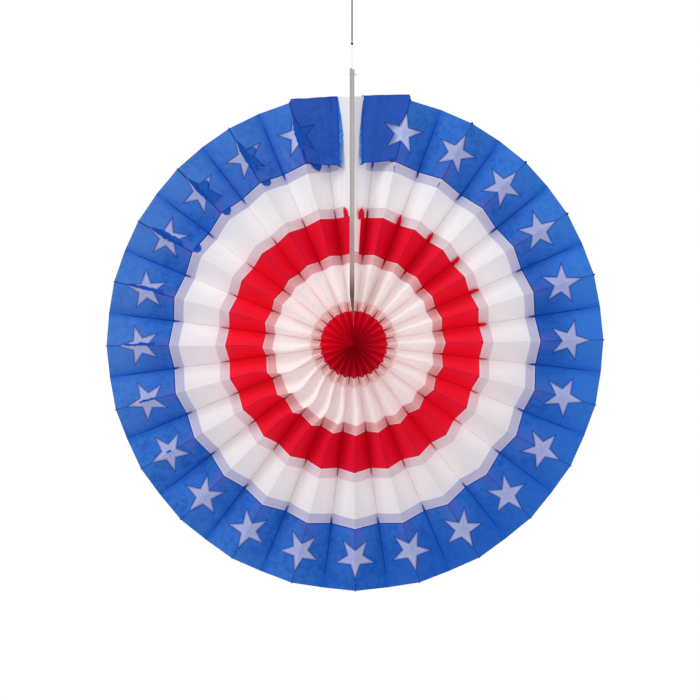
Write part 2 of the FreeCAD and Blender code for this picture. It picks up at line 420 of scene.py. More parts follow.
def mountain_point(sizes, fold, radius):
    """Point on a forward fold."""
    angle = fold_angle(sizes, fold)
    gather = Vector(sizes.gather_shift) * (1 - radius / sizes.fan_radius)
    return FAN_CENTRE + gather + Vector((
        radius * math.cos(angle), -fold_depth(sizes, radius), radius * math.sin(angle)))


FAN_INPUTS = (
    "fan_radius", "pleat_width", "folds", "seam_angle", "seam_pleat_angle", "fold_drift", "lean",
    "sway", "crumple", "card_face", "card_taper", "card_end", "scallop", "rim_scallop",
)
STAR_INPUTS = ("star_centre", "star_tip", "star_notch")


def named_sizes(sizes, names):
    """Inputs of a tree that have the labels and the values of the user's sizes."""
    return {name.replace("_", " ").capitalize(): getattr(sizes, name) for name in names}


def fan_inputs(sizes, *more):
    """Inputs that every tree on the pleats has, with their defaults."""
    inputs = named_sizes(sizes, FAN_INPUTS + more)
    inputs["Centre"] = tuple(FAN_CENTRE)
    inputs["Gather shift"] = tuple(sizes.gather_shift)
    inputs["Seed"] = 3.0
    return inputs


def fold_angle_nodes(given, fold):
    """Direction of a fold, as numbers of a node tree."""
    folds = given["Folds"]
    beside = given["Seam pleat angle"]
    middle = (fold - SEAM_PLEATS).calc("MAXIMUM", 0).calc("MINIMUM", folds - 2 * SEAM_PLEATS)
    far = (fold - (folds - SEAM_PLEATS)).calc("MAXIMUM", 0)
    angle = (given["Seam angle"] + fold.calc("MINIMUM", SEAM_PLEATS) * beside
             + middle * pleat_pitch(folds, beside) + far * beside)
    return angle + given["Fold drift"] * (angle - DRIFT_START).calc("SINE")


def fold_depth_nodes(given, radius):
    """Distance of the folds from the middle plane, and the width of a pleat seen from the front."""
    pitch = pleat_pitch(given["Folds"], given["Seam pleat angle"])
    chord = 2 * radius * (pitch / 2).calc("SINE")
    squared = given["Pleat width"].power(2) - chord.power(2)
    return squared.calc("MAXIMUM", 0).calc("SQRT") / 2, chord


def gathered_centre(tree, given, radius):
    """Centre of the folds at a radius: x and z."""
    centre_x, _, centre_z = parts_of(tree, given["Centre"])
    shift_x, _, shift_z = parts_of(tree, given["Gather shift"])
    share = 1 - radius / given["Fan radius"]
    return centre_x + shift_x * share, centre_z + shift_z * share


def bell(number, middle, width):
    """1 at the middle, falling to nothing a width or two away."""
    return ((number - middle) / width).power(2).calc("MULTIPLY", -1).calc("EXPONENT")


def off_middle(radius):
    """0 at the gathered middle, 1 from the calm radius outwards."""
    return (radius / CALM_RADIUS).clamped()


def scallop_nodes(given, radius):
    """How far a circle on the flat sheet reaches out at the forward folds."""
    outer = radius.ramp(given["Fan radius"] * 0.76, given["Fan radius"])
    return given["Scallop"] - outer * (given["Scallop"] + given["Rim scallop"])


def fold_point_nodes(tree, given, fold, radius):
    """Place of a point on a fold of the white sheet."""
    angle = fold_angle_nodes(given, fold)
    rear = fold.calc("MODULO", 2)
    forward = 1 - rear
    radius = radius + scallop_nodes(given, radius) * (1 - rear * 2) * off_middle(radius)
    depth, _ = fold_depth_nodes(given, radius)
    centre_x, centre_z = gathered_centre(tree, given, radius)

    place = vector_of(tree, fold * 3.7, radius * 14, given["Seed"])
    uneven = signed(noise_value(tree, place, 1.0, 1.0)) * given["Sway"]
    inner_share = (1 - radius / given["Fan radius"]).calc("MAXIMUM", 0.1)
    leaning = (given["Lean"] * bell(angle, LEAN_DIRECTION, LEAN_SPREAD)
               * bell(radius, LEAN_RADIUS, LEAN_REACH) * forward)
    aside = (leaning + uneven * inner_share * 1.6) * off_middle(radius)
    x = centre_x + radius * angle.calc("COSINE") - aside * angle.calc("SINE")
    z = centre_z + radius * angle.calc("SINE") + aside * angle.calc("COSINE")
    y = depth * (rear * 2 - 1)

    last = fold.calc("GREATER_THAN", given["Folds"] - 0.5)
    first = fold.calc("LESS_THAN", 0.5)
    at_seam = (last + first).clamped()
    card_end = given["Card end"]
    card_share = ((radius - card_end) / (given["Card taper"] - card_end)).clamped()
    card_x = (given["Card face"] + 0.1 * MM) * (last - first)
    on_card = (centre_x + (card_x - centre_x) * card_share, given["Pleat width"] * -0.5 + MM,
               centre_z + radius * 0.988)
    return [edge * at_seam + own * (1 - at_seam) for edge, own in zip(on_card, (x, y, z))]


def flipped(tree, faces):
    """Faces turned to the other side."""
    return put(tree, "GeometryNodeFlipFaces", {0: faces}).outputs[0]


def closed_shape(tree, front, back, offset):
    """Closed shape from a front that is pushed out by an offset, and the back that stays."""
    raised = put(tree, "GeometryNodeExtrudeMesh", {
        "Mesh": front, "Offset": offset, "Offset Scale": 1.0, "Individual": False}, mode="FACES")
    joined = put(tree, "GeometryNodeJoinGeometry")
    for part in (raised.outputs["Mesh"], back):
        tree.links.new(part, joined.inputs[0])
    merged = put(tree, "GeometryNodeMergeByDistance", {0: joined.outputs[0], "Distance": 1e-6})
    return merged.outputs[0]


def thick_paper(tree, sheet, thickness):
    """Closed sheet from an open one that faces the rear; it gains its thickness forwards."""
    forward = vector_of(tree, 0.0, thickness * -1, 0.0)
    return closed_shape(tree, flipped(tree, sheet), sheet, forward)


def finish_geometry(tree, geometry, material):
    """Real mesh, flat faces and a material, as the last steps of a geometry tree."""
    flat = put(tree, "GeometryNodeSetShadeSmooth", {"Geometry": geometry, "Shade Smooth": False})
    real = put(tree, "GeometryNodeRealizeInstances", {0: flat.outputs[0]})
    dyed = put(tree, "GeometryNodeSetMaterial", {"Geometry": real.outputs[0], "Material": material})
    finish_tree(tree, {"Geometry": dyed.outputs[0]})


def pleated_sheet_tree(sizes):
    """Pleated sheet between two radii and two folds, a given distance before the white one."""
    inputs = fan_inputs(sizes)
    inputs.update({"Inner radius": 0.1, "Outer radius": 0.2, "First fold": 0.0, "Last fold": 48.0,
                   "Layer offset": 0.0, "Thickness": sizes.paper, "Steps per pleat": 4,
                   "Radial steps": 20, "Material": "NodeSocketMaterial"})
    tree, given = geometry_tree("Pleated sheet", inputs)
    span = given["Last fold"] - given["First fold"]
    grid = put(tree, "GeometryNodeMeshGrid", {
        "Size X": 1.0, "Size Y": 1.0, "Vertices X": span * given["Steps per pleat"] + 1,
        "Vertices Y": given["Radial steps"] + 1})
    across, along, _ = parts_of(tree, tree.nodes.new("GeometryNodeInputPosition").outputs[0])
    place = given["First fold"] + (across + 0.5) * span
    radius = given["Inner radius"] + (along + 0.5) * (given["Outer radius"] - given["Inner radius"])

    fold = (place + 1e-4).calc("FLOOR").calc("MINIMUM", given["Folds"] - 1)
    share = (place - fold).clamped()
    here = fold_point_nodes(tree, given, fold, radius)
    there = fold_point_nodes(tree, given, fold + 1, radius)
    x, y, z = [a + (b - a) * share for a, b in zip(here, there)]

    waves = signed(noise_value(tree, vector_of(tree, x * 22, z * 22, fold * 2.3), 1.0, 2.0))
    bow = share * (1 - share) * 4
    _, chord = fold_depth_nodes(given, radius)
    steepness = (given["Pleat width"] / chord).calc("MINIMUM", 6)
    y = y + (waves * given["Crumple"] * bow + given["Layer offset"]) * steepness
    moved = put(tree, "GeometryNodeSetPosition", {
        "Geometry": grid.outputs["Mesh"], "Position": vector_of(tree, x, y, z)})
    paper = thick_paper(tree, moved.outputs[0], given["Thickness"])
    finish_geometry(tree, paper, given["Material"])
    return tree


def pleated_sheet(context, name, radii, folds, offset, material):
    """A closed pleated sheet between two radii and two folds, as a plain mesh object."""
    tree = bpy.data.node_groups.get("Pleated sheet") or pleated_sheet_tree(sizes_of(context))
    inner, outer = radii
    row_height = 5 * MM
    return from_nodes(name, tree, {
        "Inner radius": inner, "Outer radius": outer, "First fold": float(folds[0]),
        "Last fold": float(folds[1]), "Layer offset": offset,
        "Radial steps": max(3, round((outer - inner) / row_height)),
        "Material": bpy.data.materials[material]})


# Materials

# Tints that are laid over the colours that the user can change
TINTS = {
    # White sheet
    # Painted shade, tinted pink by bounce light from the red strips
    "blush": (0.84, 0.52, 0.52),
    "cream": (0.86, 0.82, 0.785),
    "shaded pink": (0.80, 0.60, 0.61),
    # Painted light that makes the upper part of the sheet paler and cooler
    "lit cool white": (0.92, 0.935, 0.945),
    "brown shade": (0.62, 0.47, 0.46),
    "outer rose": (0.71, 0.62, 0.68),
    "centre rose": (0.78, 0.56, 0.555),
    "mottled rose": (0.58, 0.36, 0.38),
    # Painted light that makes the lavender band paler towards the upper right
    "lit pale lavender": (0.63, 0.61, 0.74),
    "star": (0.33, 0.38, 0.69),
    "pale star": (0.46, 0.49, 0.73),
    "star outline": (0.22, 0.24, 0.52),
    "pale edge": (0.86, 0.80, 0.83),
    # Painted shade of soft upright creases by the seam
    "upright crease shade": (0.66, 0.62, 0.70),
    # Strip paper that runs on along the valleys, darkened as painted shade deep in the valley
    "shaded red gusset": (0.42, 0.006, 0.020),
    "shaded blue gusset": (0.010, 0.045, 0.32),
    # Painted shade along the valley folds
    "valley fold shade": (0.58, 0.44, 0.48),
    # Painted highlight along the forward folds
    "crest": (0.93, 0.92, 0.93),
    "white grain": (0.62, 0.60, 0.62),
    # Blue strips
    "blue cloud": (0.045, 0.20, 0.66),
    "creased blue": (0.17, 0.24, 0.66),
    # Painted light and shade by direction: paler at the upper left and the right, deeper at the
    # lower right and on the inner part at the right
    "lit pale blue": (0.14, 0.33, 0.80),
    "shaded deep blue": (0.0, 0.070, 0.44),
    "lit bright blue": (0.060, 0.27, 0.84),
    "shaded inner blue": (0.0, 0.075, 0.42),
    "flap blue": (0.014, 0.042, 0.35),
    "inner violet": (0.085, 0.13, 0.56),
    "valley blue": (0.010, 0.125, 0.56),
    # Painted shade along the valley folds
    "valley line shade": (0.0, 0.044, 0.34),
    "uncut star": (0.002, 0.065, 0.38),
    "dark blue": (0.0, 0.070, 0.46),
    "torn blue": (0.018, 0.19, 0.60),
    "torn cyan": (0.28, 0.52, 0.80),
    # Red strips
    "soft scarlet": (0.86, 0.006, 0.038),
    # Painted light at the left and right sides
    "sideways lit scarlet": (0.93, 0.010, 0.042),
    # Painted shade at the gathered middle, painted light above left of it and painted shade under
    # it
    "shaded red middle": (0.24, 0.0, 0.008),
    "lit centre": (0.92, 0.004, 0.034),
    "shaded centre": (0.14, 0.0, 0.004),
    "red grain": (0.50, 0.004, 0.014),
    # Board and yarn
    "board blush": (0.46, 0.37, 0.35),
    # Painted highlight by the seam, and painted shade on the outer part of the right card
    "board edge highlight": (0.60, 0.54, 0.53),
    "shaded board side": (0.32, 0.30, 0.38),
    "board fleck": (0.16, 0.13, 0.12),
    # Painted shade low down between the pleats, warm and then dark
    "warm board shade": (0.42, 0.22, 0.21),
    "shaded board": (0.150, 0.072, 0.068),
    "pale cord": (0.16, 0.16, 0.18),
    "pale thread": (0.9, 0.9, 0.88),
}


def mixed(tree, share, first, second):
    """Blend of two colours, each one a link, three numbers or the name of a tint."""
    node = put(tree, "ShaderNodeMix", data_type="RGBA")
    feed(tree, node.inputs[0], share)
    for socket, colour in ((node.inputs[6], first), (node.inputs[7], second)):
        if isinstance(colour, str):
            colour = TINTS[colour]
        feed(tree, socket, colour if isinstance(colour, bpy.types.NodeSocket) else (*colour, 1.0))
    return node.outputs[2]


def painted(tree, base, *layers):
    """A colour with layers over it, each one a share and a colour."""
    for share, colour in layers:
        base = mixed(tree, share, base, colour)
    return base


def place_group(sizes):
    """Where a point lies on the fan: radius, direction, and distance from folds and stars."""
    outputs = dict.fromkeys(
        ("Radius", "From mountain", "From valley", "From star", "Around"), "NodeSocketFloat")
    tree, given = new_tree(
        "Place on the fan", "ShaderNodeTree", fan_inputs(sizes, *STAR_INPUTS), outputs)
    x, y, z = parts_of(tree, object_place(tree))
    centre_x, _, centre_z = parts_of(tree, given["Centre"])
    rough_radius = hypotenuse(x - centre_x, z - centre_z)
    gather_x, gather_z = gathered_centre(tree, given, rough_radius)
    right = x - gather_x
    up = z - gather_z
    radius = hypotenuse(right, up)
    depth, _ = fold_depth_nodes(given, radius)
    share = (y / depth).clamped(-1, 1)

    angle = up.calc("ARCTAN2", right)
    plain = angle - given["Fold drift"] * (angle - DRIFT_START).calc("SINE")
    plain = (plain - given["Seam angle"]).calc("FLOORED_MODULO", 2 * math.pi) + given["Seam angle"]
    pair = 2 * pleat_pitch(given["Folds"], given["Seam pleat angle"])
    first_star = given["Seam angle"] + SEAM_PLEATS * given["Seam pleat angle"]
    turns = (plain - first_star) / pair
    nearest = (turns + 0.5).calc("FLOOR").clamped(0, given["Folds"] / 2 - SEAM_PLEATS)
    aside = ((turns - nearest) * pair).calc("ABSOLUTE")
    across = radius * aside.calc("SINE")
    along = radius * aside.calc("COSINE") - given["Star centre"]

    tenth = math.pi / 5
    around = across.calc("ARCTAN2", along)
    folded = ((around + tenth).calc("FLOORED_MODULO", 2 * tenth) - tenth).calc("ABSOLUTE")
    reach = hypotenuse(across, along)
    notch_x = given["Star notch"] * math.cos(tenth)
    notch_y = given["Star notch"] * math.sin(tenth)
    side = hypotenuse(given["Star tip"] - notch_x, notch_y)
    from_star = ((reach * folded.calc("COSINE") - given["Star tip"]) * notch_y
                 + reach * folded.calc("SINE") * (given["Star tip"] - notch_x)) / side
    finish_tree(tree, {
        "Radius": radius + scallop_nodes(given, radius) * share * off_middle(radius),
        "From star": from_star, "Around": angle,
        "From mountain": (share + 1) / 2 * given["Pleat width"],
        "From valley": (1 - share) / 2 * given["Pleat width"]})


def fibre_group():
    """Tissue: mottling, long soft fibres and a fine tooth."""
    tree, given = new_tree("Tissue fibres", "ShaderNodeTree", {"Grain": 1.0, "Seed": 0.0}, {
        "Mottle": "NodeSocketFloat", "Fibre": "NodeSocketFloat", "Height": "NodeSocketFloat"})
    x, y, z = parts_of(tree, object_place(tree))
    place = vector_of(tree, x, y * 0.5 + given["Seed"], z)
    warp = noise_value(tree, place, 60.0, 2.0) - 0.5
    bent = vector_of(tree, x + warp * 0.01, y * 0.5 + given["Seed"], z + warp * 0.01)
    mottle = noise_value(tree, bent, 120.0, 4.0, 0.65).ramp(0.33, 0.67)
    broad = noise_value(tree, place, 26.0, 2.0).ramp(0.35, 0.65)
    level = vector_of(tree, x * 0.35, y, z * 1.6)
    upright = vector_of(tree, x * 1.6, y, z * 0.35)
    strands = (noise_value(tree, level, 420.0, 2.0) + noise_value(tree, upright, 420.0, 2.0)) / 2
    tooth = noise_value(tree, place, 1400.0, 1.0)
    creases = noise_value(tree, bent, 26.0, 3.0, 0.55)
    finish_tree(tree, {
        "Mottle": mottle * 0.65 + broad * 0.35,
        "Fibre": signed(strands) * given["Grain"],
        "Height": strands * 0.35 + tooth * 0.15 * given["Grain"] + creases * 0.9})


def new_material(name, colour):
    """Node tree of a new material."""
    material = bpy.data.materials.new(name)
    material.use_nodes = True
    material.diffuse_color = (*colour, 1.0)
    return material.node_tree


def surface(tree, colour, height, roughness, bump=0.25, reach=0.6 * MM, glow=0.0):
    """Principled surface with its bump; the glow is painted light, an emission that stands for
    light coming through thin paper and lifts its shade.
    """
    shader = tree.nodes["Principled BSDF"]
    feed(tree, shader.inputs["Base Color"], colour)
    feed(tree, shader.inputs["Roughness"], roughness)
    feed(tree, shader.inputs["Emission Color"], mixed(tree, glow, (0, 0, 0), colour))
    shader.inputs["Emission Strength"].default_value = 1.0
    shader.inputs["Specular IOR Level"].default_value = 0.12
    bumped = put(tree, "ShaderNodeBump", {"Strength": bump, "Distance": reach, "Height": height})
    feed(tree, shader.inputs["Normal"], bumped.outputs[0])


def fan_nodes(tree, seed):
    """The two shared groups, placed in a material, as numbers by name."""
    place = put(tree, "ShaderNodeGroup", node_tree=bpy.data.node_groups["Place on the fan"])
    fibres = put(tree, "ShaderNodeGroup", node_tree=bpy.data.node_groups["Tissue fibres"])
    fibres.inputs["Seed"].default_value = seed
    return {output.name: Num(tree, output)
            for node in (place, fibres) for output in node.outputs}


# Masks on the fan; "at" holds the numbers of the two shared groups

def lit_side(tree):
    """1 on paper that faces the key light, 0 on paper turned away from it."""
    normal = tree.nodes.new("ShaderNodeNewGeometry").outputs["Normal"]
    facing = put(tree, "ShaderNodeVectorMath", {
        0: normal, 1: KEY_DIRECTION}, operation="DOT_PRODUCT")
    return Num(tree, facing.outputs["Value"]).ramp(0.15, 0.80)


def line_at(distance, width):
    """Thin line: 1 on it, 0 a width away."""
    return 1 - distance.calc("ABSOLUTE").ramp(width * 0.35, width)


def outside_of(radius, edge):
    """0 inside a circle and 1 outside it, with a soft edge."""
    soft = 0.35 * MM
    return radius.ramp(edge - soft, edge + soft)


def band(radius, inner, outer):
    """1 between two circles."""
    return outside_of(radius, inner) * (1 - outside_of(radius, outer))


def towards(at, degrees):
    """1 in the given direction from the fan's centre, 0 across it and -1 on the far side."""
    return (at["Around"] - math.radians(degrees)).calc("COSINE")


def sector(at, degrees, width):
    """1 in the given direction, falling to nothing a width or two beside it."""
    return bell(at["Around"], math.radians(degrees), width)


def grain_share(at):
    """Weak grain along the fibres."""
    return (0.5 + at["Fibre"] * 0.5).clamped() * 0.10


def streaks_round(tree, at, round_scale, radial_scale, detail):
    """Noise that is drawn out along the pleats."""
    place = vector_of(tree, at["Around"] * round_scale, at["Radius"] * radial_scale, 0.0)
    return noise_value(tree, place, 1.0, detail)


def slit(at, edge, reach, width):
    """Gusset of a front strip that runs on along the valleys past the strip's edge."""
    past = (at["Radius"] - edge) * math.copysign(1, reach)
    along = past / abs(reach)
    half = width * (1 + 1.6 * (1 - along.ramp(0.0, 0.5)))
    narrow = 1 - (at["From valley"] / half).ramp(0.8, 1.2)
    return narrow * past.ramp(-2 * MM, 0) * (1 - along.ramp(0.85, 1.0))


def rear_bands(sizes, at, from_seam):
    """Where the rear red strips and the rear blue strip show through the white sheet."""
    radius = at["Radius"]
    margin = sizes.rear_margin
    under = 2 * MM
    outer = band(radius, sizes.red_ring_outer - under, sizes.red_ring_outer + margin)
    red = (outer * from_seam.ramp(10.5 * MM, 11.5 * MM)
           + band(radius, sizes.red_ring_inner - margin, sizes.red_ring_inner + under)
           + band(radius, 0, sizes.red_centre_outer + margin))
    by_seam = 0.10 + from_seam.ramp(17 * MM, 19 * MM) * 0.87
    return red.clamped(), outside_of(radius, sizes.blue_rear_inner) * by_seam


def clean_white(tree, at, colours):
    """White tissue with nothing behind it: painted shade tinted pink by bounce light from the red,
    near the middle and along the valleys; painted shade on faces turned from the key light; painted
    light that makes the top paler and cooler.
    """
    inner = at["Radius"].ramp(0.115, 0.080)
    near_valley = 1 - at["From valley"].ramp(0.0, 22 * MM)
    valley_line = 1 - at["From valley"].ramp(0.0, 7 * MM)
    # Painted shade, tinted pink by bounce light from the red strips, along the valleys and near the
    # middle
    blush = (inner * (0.02 + near_valley * 0.22 + valley_line * 0.35)
             + (1 - inner) * near_valley * 0.04)
    shaded = (1 - lit_side(tree)) * (0.06 + inner * (0.10 + sector(at, -118, 0.75) * 0.32))
    # Painted light: the upper part of the sheet is paler and cooler
    upper = towards(at, 90).ramp(-0.30, 0.40) * (1 - inner)
    dim = sector(at, -80, 0.70) * 0.17 + sector(at, 73, 0.2) * 0.4
    return painted(
        tree, colours.white,
        (at["Mottle"] * 0.5, [c * 0.94 for c in colours.white]),
        (blush.clamped(), "blush"),
        (inner * 0.5, "cream"),
        (shaded, "shaded pink"),
        (upper * 0.42, "lit cool white"),
        (inner * dim, "brown shade"))


def white_material(sizes, colours):
    """White tissue, tinted where a rear strip lies behind it."""
    tree = new_material("White tissue", colours.white)
    at = fan_nodes(tree, 0.0)
    radius = at["Radius"]
    from_seam = (at["Around"] - sizes.seam_angle).calc("ABSOLUTE") * radius
    red_band, blue_band = rear_bands(sizes, at, from_seam)
    rose = painted(
        tree, colours.rose,
        (radius.ramp(0.13, 0.15), "outer rose"),
        (radius.ramp(0.09, 0.07), "centre rose"),
        (at["Mottle"] * 0.25, "mottled rose"))
    # Painted light: the lavender band turns paler towards the upper right
    faint = towards(at, 55).ramp(0.45, 1.0) * 0.45
    lavender = mixed(tree, faint, colours.lavender, "lit pale lavender")

    in_star = at["From star"].ramp(0.6 * MM, -0.4 * MM)
    star = painted(
        tree, "star",
        (at["From star"].ramp(-9 * MM, 1 * MM) * (0.6 + at["Mottle"] * 0.4), "pale star"),
        (line_at(at["From star"], 2.2 * MM) * 0.8, "star outline"))

    rim = 0.9 * MM
    pale_edge = most(*[line_at(radius - edge, rim) for edge in (
        sizes.blue_ring_inner - rim, sizes.red_ring_outer + rim, sizes.red_ring_inner - rim,
        sizes.red_centre_outer + rim)])
    x, _, z = parts_of(tree, object_place(tree))
    # Painted shade of soft upright creases in the white sheet near the seam
    upright = noise_value(tree, vector_of(tree, x * 190, z * 7, 0.0), 1.0, 2.0).ramp(0.45, 0.75)
    upright = upright * from_seam.ramp(75 * MM, 20 * MM) * radius.ramp(0.14, 0.17) * 0.35
    # The strips' paper runs on along the valleys past their edges; it is darkened as painted shade
    # deep in the valley
    red_slits = (slit(at, sizes.red_ring_outer, 11 * MM, 1.0 * MM)
                 + slit(at, sizes.red_ring_inner, -12 * MM, 2.0 * MM)
                 + slit(at, sizes.red_centre_outer, 11 * MM, 3.6 * MM)).clamped()
    blue_slits = slit(at, sizes.blue_ring_inner, -8 * MM, 1.0 * MM)
    base = painted(
        tree, clean_white(tree, at, colours),
        (red_band * 0.96, rose),
        (blue_band, lavender),
        (in_star, star),
        (pale_edge * 0.45, "pale edge"),
        (upright, "upright crease shade"),
        (red_slits * 0.9, "shaded red gusset"),
        (blue_slits * 0.9, "shaded blue gusset"),
        # Painted shade along the valley folds
        (line_at(at["From valley"], 1.1 * MM) * 0.40, "valley fold shade"),
        # Painted highlight along the forward folds
        (line_at(at["From mountain"], 0.9 * MM) * (1 - blue_band) * 0.35, "crest"),
        (grain_share(at), "white grain"))
    # Painted light: the glow grows towards the deep inner pleats and in the stars by the seam,
    # lifting their shade
    glow = (0.12 + radius.ramp(0.225, 0.110) * 0.11
            + in_star * from_seam.ramp(85 * MM, 70 * MM) * 0.25)
    surface(tree, base, at["Height"], 0.88, 0.22, glow=glow)


def blue_material(sizes, colours, name, dark=0.0, stars=True, flat=False, inner=None):
    """Blue tissue: mottled blues, navy folds and cut edges, paler torn fringe; painted light makes
    it paler at the upper left and the right, painted shade deeper at the lower right, on the inner
    part at the right and along the valleys.
    """
    tree = new_material(name, colours.blue)
    at = fan_nodes(tree, 0.37)
    radius = at["Radius"]
    outside = radius.ramp(0.245, 0.290)
    to_right = sector(at, 5, 0.9)
    creased = (sector(at, 112, 0.075) + sector(at, 128, 0.075)) * (
        0.35 + streaks_round(tree, at, 46, 30, 3.0).ramp(0.48, 0.70)) * radius.ramp(0.276, 0.256)
    base = painted(
        tree, colours.azure,
        (at["Mottle"], colours.blue),
        ((1 - at["Mottle"]).ramp(0.40, 0.9) * 0.5, colours.violet),
        ((at["Fibre"] * 0.9 + 0.5).clamped() * 0.55, "blue cloud"),
        (creased.clamped() * 0.55, "creased blue"),
        # Painted light and shade by direction: paler at the upper left and the right, deeper at the
        # lower right and on the inner part at the right
        (towards(at, 155).ramp(0.45, 1.0) * outside * 0.29, "lit pale blue"),
        (towards(at, -42).ramp(0.30, 0.95) * outside * 0.56, "shaded deep blue"),
        (to_right * outside * 0.45, "lit bright blue"),
        (sector(at, 5, 0.3) * (1 - outside) * 0.5, "shaded inner blue"))
    # Dark lines on the flaps' and crumpled pieces' cut edges and folds, with painted shade along
    # two soft creases of the left flap
    lines = Num(tree, put(tree, "ShaderNodeAttribute", attribute_name="ink").outputs["Fac"])
    if flat:
        base = mixed(tree, 0.62, base, "flap blue")
    else:
        inside = radius.ramp(0.268, 0.236) * (1 - at["From mountain"].ramp(2 * MM, 24 * MM))
        # Painted shade along the valley folds
        valley_line = line_at(at["From valley"], 1.9 * MM) * radius.ramp(0.312, 0.290)
        base = painted(
            tree, base,
            (inside * 0.75, "inner violet"),
            ((1 - at["From valley"].ramp(0.0, 12 * MM)) * 0.5, "valley blue"),
            (valley_line * 0.95, "valley line shade"))
        upper_left = sector(at, 140, 0.7)
        lines = most(lines, line_at(at["From mountain"], 1.2 * MM) * (0.45 + upper_left * 0.5),
                     line_at(radius - (inner or sizes.blue_ring_inner), 1.3 * MM),
                     line_at(radius - sizes.fan_radius, 1.3 * MM))
    if stars:
        lines = most(lines, line_at(at["From star"], 1.5 * MM) * 0.8)
        base = mixed(tree, at["From star"].ramp(0.5 * MM, -0.5 * MM) * 0.35, base, "uncut star")
    base = mixed(tree, lines.clamped() * 0.85, base, colours.navy)
    if dark:
        base = mixed(tree, dark, base, "dark blue")
    torn = put(tree, "ShaderNodeAttribute", attribute_name="single_layer")
    pale = noise_value(tree, object_place(tree), 260.0, 2.0).ramp(0.40, 0.66)
    fringe = mixed(tree, pale * (0.25 + to_right * 0.75), "torn blue", "torn cyan")
    base = mixed(tree, Num(tree, torn.outputs["Fac"]) * 0.9, base, fringe)
    surface(tree, base, at["Height"], 0.85, 0.3, glow=0.08)


def red_material(sizes, colours, name, margin=0.0):
    """Red tissue: soft radial streaks and darker folds and cut edges; painted light makes it
    scarlet where it faces the key light and at the left and right sides, and lighter above left of
    the middle; painted shade darkens the valleys, the middle and the part under it.
    """
    tree = new_material(name, colours.red)
    at = fan_nodes(tree, 0.71)
    radius = at["Radius"]
    # Painted light: scarlet where the paper faces the key light, more at the left and right sides
    sideways = towards(at, -8).power(2)
    lit = lit_side(tree) * radius.ramp(0.06, 0.11) * (0.42 + sideways * 0.43)
    streaks = (streaks_round(tree, at, 60, 6, 3.0).ramp(0.35, 0.75)
               * streaks_round(tree, at, 9, 9, 2.0).ramp(0.4, 0.65))
    edges = most(*[line_at(radius - edge, 0.9 * MM) for edge in (
        sizes.red_ring_inner - margin, sizes.red_ring_outer + margin,
        sizes.red_centre_outer + margin)])
    # Painted shade along the valleys, with darker lines on the forward folds and the cut edges
    lines = most(line_at(at["From mountain"], 0.8 * MM) * 0.5, edges * 0.75,
                 (1 - at["From valley"].ramp(0.0, 3.0 * MM)) * 0.35)
    near = radius.ramp(0.055, 0.045)
    base = painted(
        tree, colours.red,
        ((lit * 0.75 + streaks * 0.4).clamped(),
         mixed(tree, sideways, "soft scarlet", colours.scarlet)),
        (sideways * radius.ramp(0.05, 0.08) * 0.75, "sideways lit scarlet"),
        (lines, colours.maroon),
        # Painted shade at the gathered middle, painted light above left of it and painted shade
        # under it
        (radius.ramp(0.045, 0.004) * 0.6, "shaded red middle"),
        (near * towards(at, 160).ramp(0.3, 1.0) * 0.26, "lit centre"),
        (near * towards(at, -88).ramp(0.1, 1.0) * 0.29, "shaded centre"),
        (grain_share(at), "red grain"))
    # Painted light: the glow grows towards the gathered middle
    surface(tree, base, at["Height"], 0.82, 0.22, glow=0.12 + radius.ramp(0.06, 0.03) * 0.12)


def board_material(colours):
    """Raw grey board: pressed layers along its edge, fibres and small dark flecks; a painted
    highlight by the seam, painted shade on the outer part of the right card, and painted shade,
    warm and then dark, low down between the pleats.
    """
    tree = new_material("Grey board", colours.board)
    x, y, z = parts_of(tree, object_place(tree))
    layers = noise_value(tree, vector_of(tree, x * 2600, y * 20, z * 14), 1.0, 3.0)
    flecks = noise_value(tree, object_place(tree), 900.0, 2.0).ramp(0.66, 0.74)
    blush = noise_value(tree, vector_of(tree, x * 3, y, z), 30.0, 2.0)
    height = z - FAN_CENTRE.z
    base = painted(
        tree, colours.board,
        (layers.ramp(0.3, 0.7), [c * 1.25 for c in colours.board]),
        (blush.ramp(0.45, 0.7) * 0.5, "board blush"),
        # Painted highlight by the seam, and painted shade on the outer part of the right card
        (line_at(x - 0.6 * MM, 1.3 * MM) * 0.5, "board edge highlight"),
        (x.ramp(1.4 * MM, 2.8 * MM) * 0.45, "shaded board side"),
        (flecks * 0.6, "board fleck"),
        # Painted shade low down between the pleats, warm and then dark
        (height.ramp(0.175, 0.140) * 0.6, "warm board shade"),
        (height.ramp(0.100, 0.062) * 0.95, "shaded board"))
    surface(tree, base, layers * 0.6 + flecks * 0.2, 0.9, 0.4, 0.3 * MM, glow=0.05)


def yarn_material(name, colour, pale, glow):
    """Twisted yarn: slanting plies and stray fibres along the cord, with a glow of painted light.
    """
    tree = new_material(name, colour)
    x, y, z = parts_of(tree, object_place(tree))
    fine = noise_value(tree, vector_of(tree, x * 3, y * 3, z * 1.5), 1500.0, 3.0)
    patches = noise_value(tree, object_place(tree), 260.0, 2.0)
    base = painted(
        tree, colour,
        (fine.ramp(0.35, 0.7) * 0.5, pale),
        (patches.ramp(0.4, 0.7) * 0.4, [c * 0.7 for c in colour]))
    surface(tree, base, fine, 0.8, 0.5, 0.2 * MM, glow=glow)


